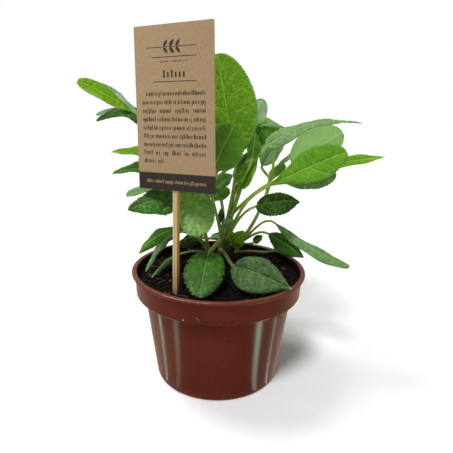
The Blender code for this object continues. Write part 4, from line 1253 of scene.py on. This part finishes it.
# Bits that the photo shows in a place of their own, in mm: straws by three points, dark
# specks on the pot with their sizes, and one white bit on it
STRAWS = (
    ((-12.8, -51.2, 59.4), (-11.0, -51.7, 58.6), (-9.5, -51.9, 57.2)),
    ((-45.6, -20.0, 66.8), (-45.2, -18.4, 65.6), (-44.6, -17.4, 63.6)),
    ((-11.5, -47.4, 62.4), (-8.0, -48.8, 63.4), (-4.2, -48.6, 62.6)),
    ((12.0, -47.6, 62.4), (16.0, -46.4, 63.3), (21.5, -44.4, 62.6)),
)
SPECKS = ((-6.3, -51.8, 56.9, 1.2), (7.7, -51.7, 56.5, 1.1), (11.8, -51.2, 61.5, 0.9),
          (6.5, -44.8, 42.0, 1.0), (30.6, -42.0, 57.2, 0.8))
WHITE_BIT = (-18.7, -49.1, 56.3, 1.0)


def stuck(shape, bits, name):
    """Copies of shape at places given in mm with their sizes."""
    return copies(shape, [Matrix.Translation(Vector(bit[:3]) * MM) @ Matrix.Scale(bit[3], 4)
                          for bit in bits], name)


class SALVIA_OT_litter(bpy.types.Operator):
    """Loose crumbs, fibres and white bits on the soil, and bits stuck to the pot"""
    bl_idname = "salvia.litter"
    bl_label = "Soil litter"

    def execute(self, context):
        rng = random.Random(11)
        total = context.scene.salvia_pot.crumbs
        shapes = [crumb_shape(0.3, seed) for seed in range(4)]
        litter = join([scatter(shape, total // 4, rng, on_soil, (0.6, 1.9)) for shape in shapes])
        clear_away(*shapes)
        settle(litter, "soil_crumbs", "potting_soil", skins=[peat_compost()])

        fibres, white_bits = 70, 26
        bits = []
        for _ in range(fibres):
            at = on_soil(rng, 47.5, 0.7)
            heading, span = rng.uniform(0, math.tau), rng.uniform(2.5, 8.0) * MM
            way = Vector((math.cos(heading), math.sin(heading), rng.uniform(-0.05, 0.2))) * span
            bend = Vector((-way.y, way.x, 0.0)) * rng.uniform(-0.3, 0.3)
            ends = [at - way / 2, at + bend * 0.5 + Vector((0, 0, 0.2 * MM)), at + way / 2]
            bits.append(bit_of_fibre("fibre", ends, (0.10, 0.16, 0.07)))
        for ends in STRAWS:
            bits.append(bit_of_fibre("straw", [Vector(e) * MM for e in ends],
                                     (0.12, 0.16, 0.1)))
        settle(join(bits), "soil_fibres", "potting_soil", skins=[dry_fibre()])

        shape = crumb_shape(0.25, 9)
        white = scatter(shape, white_bits, rng, lambda r: on_soil(r, 47.0, 0.6), (0.5, 1.1))
        white = join([white, stuck(shape, [WHITE_BIT], "white_bit")])
        settle(white, "soil_white_bits", "potting_soil", skins=[perlite()])

        lump = crumb_shape(0.3, 12)
        dots = stuck(lump, SPECKS, "pot_specks")
        clear_away(shape, lump)
        settle(dots, "pot_specks", "potting_soil", skins=[peat_compost()])
        return {"FINISHED"}


class SALVIA_OT_card(bpy.types.Operator):
    """The kraft card, with rounded corners and eased edges"""
    bl_idname = "salvia.card"
    bl_label = "Card"

    def execute(self, context):
        card = context.scene.salvia_card
        w, h, t = card.width, card.height, card.thickness
        board = new_object(bpy.ops.mesh.primitive_cube_add, size=1.0, scale=(w, t, h))
        bake(board)
        mesh = board.data
        for edge in mesh.edges:
            a, b = (mesh.vertices[i].co for i in edge.vertices)
            edge.select = abs(a.y - b.y) > t / 2
        for part in (*mesh.vertices, *mesh.polygons):
            part.select = False
        bpy.ops.object.mode_set(mode="EDIT")
        bpy.ops.mesh.select_mode(type="EDGE")
        bpy.ops.mesh.bevel(offset=card.corner, segments=6, affect="EDGES")
        leave_edit()
        modify(board, "BEVEL", width=0.08 * MM, segments=2, limit_method="ANGLE",
               angle_limit=math.radians(60.0))
        drop_maps(mesh)
        layer = mesh.uv_layers.new(name="card_mm")
        for loop, place in zip(mesh.loops, layer.data):
            co = mesh.vertices[loop.vertex_index].co
            # The back has its own share of the pattern, 60 mm aside.
            place.uv = (co.x / MM + (0.0 if co.y < 0 else 60.0), co.z / MM)
        smooth(board, degrees=35.0)
        bake(board, CARD_PLACE)
        settle(board, "card_board", "kraft_card", "tag_card", skins=[kraft_board()])
        return {"FINISHED"}


def bar(x, z, width, height):
    """The place of a printed bar, its left end at x and its middle at z, in mm."""
    return (Matrix.Translation(((x + width / 2) * MM, 0.0, z * MM))
            @ Matrix.Diagonal((width, 1.0, height, 1.0)))


def type_row(x0, x1, z, size, rng, fill=True):
    """A row of plain upright bars in groups, where set type would stand; none is a letter."""
    pitch = size * 0.56
    x = x0
    groups = []
    while x < x1 - size:
        groups.append(rng.randint(2, 9))
        x += groups[-1] * size * 0.56 + size * 0.8
    need = sum(count * size * 0.56 for count in groups)
    gap = (x1 - x0 - need) / max(1, len(groups) - 1) if fill else size * 0.8
    x = x0
    bars = []
    for count in groups:
        for _ in range(count):
            if x + size * 0.5 > x1 + 0.2:
                break
            tall = size * rng.choice((1.0, 1.0, 1.0, 1.45))
            rise = rng.choice((0.5, 0.5, -0.5)) * (tall - size)
            bars.append(bar(x, z + rise, size * rng.uniform(0.2, 0.42), tall))
            x += pitch
        x += gap
    return bars


class SALVIA_OT_print(bpy.types.Operator):
    """Print on the card: a leafy sprig, rules, and plain bars in place of words"""
    bl_idname = "salvia.card_print"
    bl_label = "Card print"

    def execute(self, context):
        face = -context.scene.salvia_card.thickness / 2
        block = new_object(bpy.ops.mesh.primitive_cube_add, size=1.0, location=(0.0, face, 0.0),
                           scale=(1.0 * MM, 0.05 * MM, 1.0 * MM))
        bake(block)
        rng = random.Random(5)
        # Places and sizes of the print are in mm, from the middle of the card.
        dark = [bar(-13.0, z, 27.5, 0.42) for z in (28.0, 15.1)]
        dark += type_row(-8.0, 9.0, 25.6, 0.7, rng)
        # The short title has two tall bars.
        dark += [bar(-6.4 + 2.5 * k, 18.6 + (0.5 if k in (0, 2) else 0.0), 1.1,
                     3.9 if k in (0, 2) else 2.9) for k in range(6)]
        rows, row_pitch, top_row, type_size = 9, 4.65, 8.5, 1.75
        for k in range(rows):
            last = k == rows - 1
            dark += type_row(-18.0 if k == 0 else -20.5, -7.5 if last else 20.0,
                             top_row - row_pitch * k, type_size, rng, not last)
        words = copies(block, dark, "card_words")
        # The sprig: one leaf outline, copied along a stalk.
        sprig_z = 33.2
        leaf = new_object(bpy.ops.mesh.primitive_circle_add, vertices=20, radius=1.0,
                          fill_type="NGON", rotation=(math.radians(90.0), 0.0, 0.0))
        bake(leaf)
        for vert in leaf.data.vertices:
            x, z = vert.co.x, vert.co.z
            narrow = math.sqrt(max(0.0, 1.0 - 0.75 * x * abs(x)))
            vert.co = ((x + 1.0) * 2.1 * MM, face, z * 0.95 * MM * narrow)
        edit(leaf, "FACE")
        bpy.ops.mesh.extrude_region_move(TRANSFORM_OT_translate={"value": (0.0, -0.025 * MM, 0.0)})
        outward()
        leave_edit()
        places = []
        for k in range(7):
            for side in (1, -1):
                turn = Matrix.Rotation(-side * math.radians(52.0), 4, "Y")
                foot = Vector((-13.5 + 3.9 * k, 0.0, sprig_z + 0.35 * side)) * MM
                places.append(Matrix.Translation(foot) @ turn
                              @ Matrix.Scale(1.0 - 0.07 * abs(k - 3), 4))
        places.append(Matrix.Translation((14.0 * MM, 0.0, sprig_z * MM)) @ Matrix.Scale(0.8, 4))
        sprig = copies(leaf, places, "card_sprig")
        stalk = copies(block, [bar(-17.0, sprig_z, 31.5, 0.38)], "card_stalk")
        pale = copies(block, type_row(-19.5, 19.5, -40.2, 1.45, rng), "card_marks")
        clear_away(block, leaf)
        for piece, name, skin in ((join([words, sprig, stalk]), "card_ink", printing_ink),
                                  (pale, "card_pale_marks", unprinted_kraft)):
            bake(piece, CARD_PLACE)
            settle(piece, name, "kraft_card", skins=[skin()])
        return {"FINISHED"}


class SALVIA_OT_stick(bpy.types.Operator):
    """The square bamboo stick, with eased edges and a slightly uneven saw cut"""
    bl_idname = "salvia.stick"
    bl_label = "Stick"

    def execute(self, context):
        side = context.scene.salvia_card.stick_side
        long, cuts = STICK_HIGH[2] - STICK_LOW[2], 24
        stick = new_object(bpy.ops.mesh.primitive_cube_add, size=1.0, scale=(side, side, long))
        bake(stick)
        edit(stick)
        bpy.ops.mesh.bevel(offset=0.28 * MM, segments=3, affect="EDGES")
        for k in range(1, cuts):
            bpy.ops.mesh.select_all(action="SELECT")
            bpy.ops.mesh.bisect(plane_co=(0.0, 0.0, long * k / cuts - long / 2),
                                plane_no=(0.0, 0.0, 1.0))
        leave_edit()
        for vert in stick.data.vertices:
            t = vert.co.z / long
            vert.co.x += 0.10 * MM * math.sin(9.0 * t + 0.5) * math.cos(math.pi * t)
            vert.co.x *= 0.985 + 0.012 * math.sin(23.0 * t)
            vert.co.y *= 0.985 + 0.012 * math.sin(17.0 * t + 1.0)
        stick.matrix_world = Matrix.Translation((STICK_X, STICK_Y, STICK_Z)) @ CARD_TURN
        smooth(stick, degrees=35.0)
        for skin in (split_bamboo(), split_bamboo("skin")):
            stick.data.materials.append(skin)
        for face in stick.data.polygons:
            if face.normal.x > 0.5:
                face.material_index = 1
        settle(stick, "stick_bamboo", "bamboo", "tag_stick")
        return {"FINISHED"}


class SALVIA_OT_stems(bpy.types.Operator):
    """The stems, squarish as on all sages, with the leaf stalks"""
    bl_idname = "salvia.stems"
    bl_label = "Stems"

    def execute(self, context):
        section = new_object(bpy.ops.curve.primitive_bezier_circle_add, radius=1.0)
        section.data.resolution_u = 3
        # Longer handles make the round section squarish.
        for point in section.data.splines[0].bezier_points:
            for side in ("handle_left", "handle_right"):
                point.handle_left_type = point.handle_right_type = "FREE"
                setattr(point, side, point.co + (getattr(point, side) - point.co) * 1.35)
        for name, stem in STEMS.items():
            p = [Vector(q) * MM for q in stem]
            ends = [2 * p[0] - p[1]] + p + [2 * p[-1] - p[-2]]
            points = [(q, q - (after - before) / 6, q + (after - before) / 6)
                      for before, q, after in zip(ends, p, ends[2:])]
            radii = np.linspace(1.6, 0.85, len(p)) * MM
            parts = [curve_tube(name, points, radii, section=section)]
            for layer in ("stalk", "rib"):
                float_layer(parts[0].data, layer, np.zeros(len(parts[0].data.vertices)))
            for leaf in LEAVES[name]:
                part = curve_tube(leaf.name, *stalk_curve(leaf, stem))
                base, tip = Vector(leaf.base) * MM, Vector(leaf.tip) * MM
                along = [(vert.co - base).dot(tip - base) / (tip - base).length_squared
                         for vert in part.data.vertices]
                float_layer(part.data, "stalk", np.full(len(along), 0.4 + 0.6 * leaf.tone))
                float_layer(part.data, "rib", np.clip(np.array(along) * 8.0, 0.0, 1.0))
                parts.append(part)
            settle(join(parts), name.replace("shoot", "stems"), "sage_leaf", name,
                   skins=[sage_stem()])
        clear_away(section)
        return {"FINISHED"}


class SALVIA_OT_leaves(bpy.types.Operator):
    """The leaves, with toothed edges, sunken veins and a paler underside"""
    bl_idname = "salvia.leaves"
    bl_label = "Leaves"

    def execute(self, context):
        settings = context.scene.salvia_plant
        seed = 1
        for name, leaves in LEAVES.items():
            blades = [make_blade(leaf, settings, seed + i) for i, leaf in enumerate(leaves)]
            seed += len(leaves)
            settle(join(blades), name.replace("shoot", "leaves"), "sage_leaf", name)
        return {"FINISHED"}


def edge_hairs(leaf, rng):
    """Feet and directions of the hairs along both edges of a leaf."""
    u = np.sort(rng.uniform(0.0, 1.0, 40 + int(6 * leaf.width)))
    middle, slope, sides, normals = blade_frame(leaf, u)
    half = half_width(leaf, u)
    fold = math.radians(leaf.cup)
    for edge in (-1.0, 1.0):
        wave = edge_wave(leaf, u, edge > 0) * np.sin(math.pi * u)
        lift = half * math.sin(fold) + wave - 0.4 * MM
        reach = edge * half * math.cos(fold) * (1.0 + leaf.skew * edge)
        forward, rise = rng.uniform(-0.2, 0.9, (len(u), 1)), rng.uniform(-0.6, 0.6, (len(u), 1))
        yield (middle + sides * reach[:, None] + normals * lift[:, None],
               sides * edge + slope * forward + normals * rise)


def round_hairs(at, ahead, radius, rng):
    """Feet and directions of hairs all round a stem or stalk that runs ahead."""
    way = np.cross(ahead, rng.normal(size=ahead.shape))
    way /= np.linalg.norm(way, axis=1, keepdims=True)
    return at + way * radius, way


def stalk_hairs(leaf, stem, rng):
    """Hairs on the stalk, from the stem to the blade's foot."""
    stalk, thin = stalk_curve(leaf, stem)
    for (here, _, out), (there, back, _), radius in zip(stalk[:2], stalk[1:3], thin):
        count = max(6, int(np.linalg.norm(there - here) / MM * 3.2))
        t = rng.uniform(0.0, 1.0, count)
        yield round_hairs(*bezier([here, out, back, there], t), radius * 0.9, rng)


def stem_hairs(stem, rng):
    """Hairs on the stem, from the soil up."""
    count, radius = 700, 1.2 * MM
    t = rng.uniform(1.0, len(stem) - 1.0, count)
    at, on = (np.array([stem_point(stem, a + more) for a in t]) for more in (0.0, 0.02))
    yield round_hairs(at, on - at, radius, rng)


class SALVIA_OT_hairs(bpy.types.Operator):
    """Short soft hairs along the leaf edges, stalks and stems"""
    bl_idname = "salvia.hairs"
    bl_label = "Hairs"

    def execute(self, context):
        settings = context.scene.salvia_plant
        hair = new_object(bpy.ops.mesh.primitive_cone_add, vertices=3, radius1=0.04 * MM,
                          radius2=0.0, depth=1.0 * MM, location=(0.0, 0.0, 0.5 * MM))
        bake(hair)
        low, high = np.array(CAD_BOX[0]) + 0.1 * MM, np.array(CAD_BOX[1]) - 0.1 * MM
        for name, stem in STEMS.items():
            rng = np.random.default_rng(len(name) * 7)
            groups = [hairs for leaf in LEAVES[name] for hairs in edge_hairs(leaf, rng)]
            groups += [hairs for leaf in LEAVES[name] for hairs in stalk_hairs(leaf, stem, rng)]
            groups += stem_hairs(stem, rng)
            starts, ways = (np.concatenate(part) for part in zip(*groups))
            places = []
            for at, way in zip(starts, ways):
                turn = Vector(way).normalized().to_track_quat("Z", "Y").to_matrix().to_4x4()
                s = settings.hair / MM * rng.uniform(0.45, 1.0)
                end = np.asarray(at) + np.asarray(turn)[:3, 2] * s * MM
                # None may stand out of the box of the solids.
                if (end >= low).all() and (end <= high).all():
                    places.append(Matrix.Translation(at) @ turn
                                  @ Matrix.Diagonal((1.0, 1.0, s, 1.0)))
            settle(copies(hair, places, "hair"), name.replace("shoot", "hairs"), "sage_leaf",
                   skins=[leaf_hair()])
        clear_away(hair)
        return {"FINISHED"}


class SALVIA_PT_panel(bpy.types.Panel):
    """Builds the potted salvia piece by piece"""
    bl_label = "Potted salvia"
    bl_idname = "SALVIA_PT_panel"
    bl_space_type = "VIEW_3D"
    bl_region_type = "UI"
    bl_category = "Salvia"

    def draw(self, context):
        layout = self.layout
        for operator in OPERATORS:
            layout.operator(operator.bl_idname)
        for name in SETTINGS:
            box = layout.box()
            group = getattr(context.scene, name)
            for key in group.bl_rna.properties.keys():
                if key not in ("rna_type", "name"):
                    box.prop(group, key)


OPERATORS = (SALVIA_OT_studio, SALVIA_OT_pot, SALVIA_OT_soil, SALVIA_OT_litter, SALVIA_OT_card,
             SALVIA_OT_print, SALVIA_OT_stick, SALVIA_OT_stems, SALVIA_OT_leaves,
             SALVIA_OT_hairs)
SETTINGS = {"salvia_pot": SalviaPot, "salvia_card": SalviaCard, "salvia_plant": SalviaPlant,
            "salvia_finish": SalviaFinish, "salvia_studio": SalviaStudio}


def register():
    for name, group in SETTINGS.items():
        bpy.utils.register_class(group)
        setattr(bpy.types.Scene, name, PointerProperty(type=group))
    for item in (*OPERATORS, SALVIA_PT_panel):
        bpy.utils.register_class(item)


def unregister():
    for item in (*OPERATORS, SALVIA_PT_panel):
        bpy.utils.unregister_class(item)
    for name, group in SETTINGS.items():
        delattr(bpy.types.Scene, name)
        bpy.utils.unregister_class(group)


def main():
    register()
    bpy.ops.salvia.studio()
    bpy.ops.salvia.pot()
    bpy.ops.salvia.soil()
    bpy.ops.salvia.litter()
    bpy.ops.salvia.card()
    bpy.ops.salvia.card_print()
    bpy.ops.salvia.stick()
    bpy.ops.salvia.stems()
    bpy.ops.salvia.leaves()
    bpy.ops.salvia.hairs()


if __name__ == "__main__":
    main()
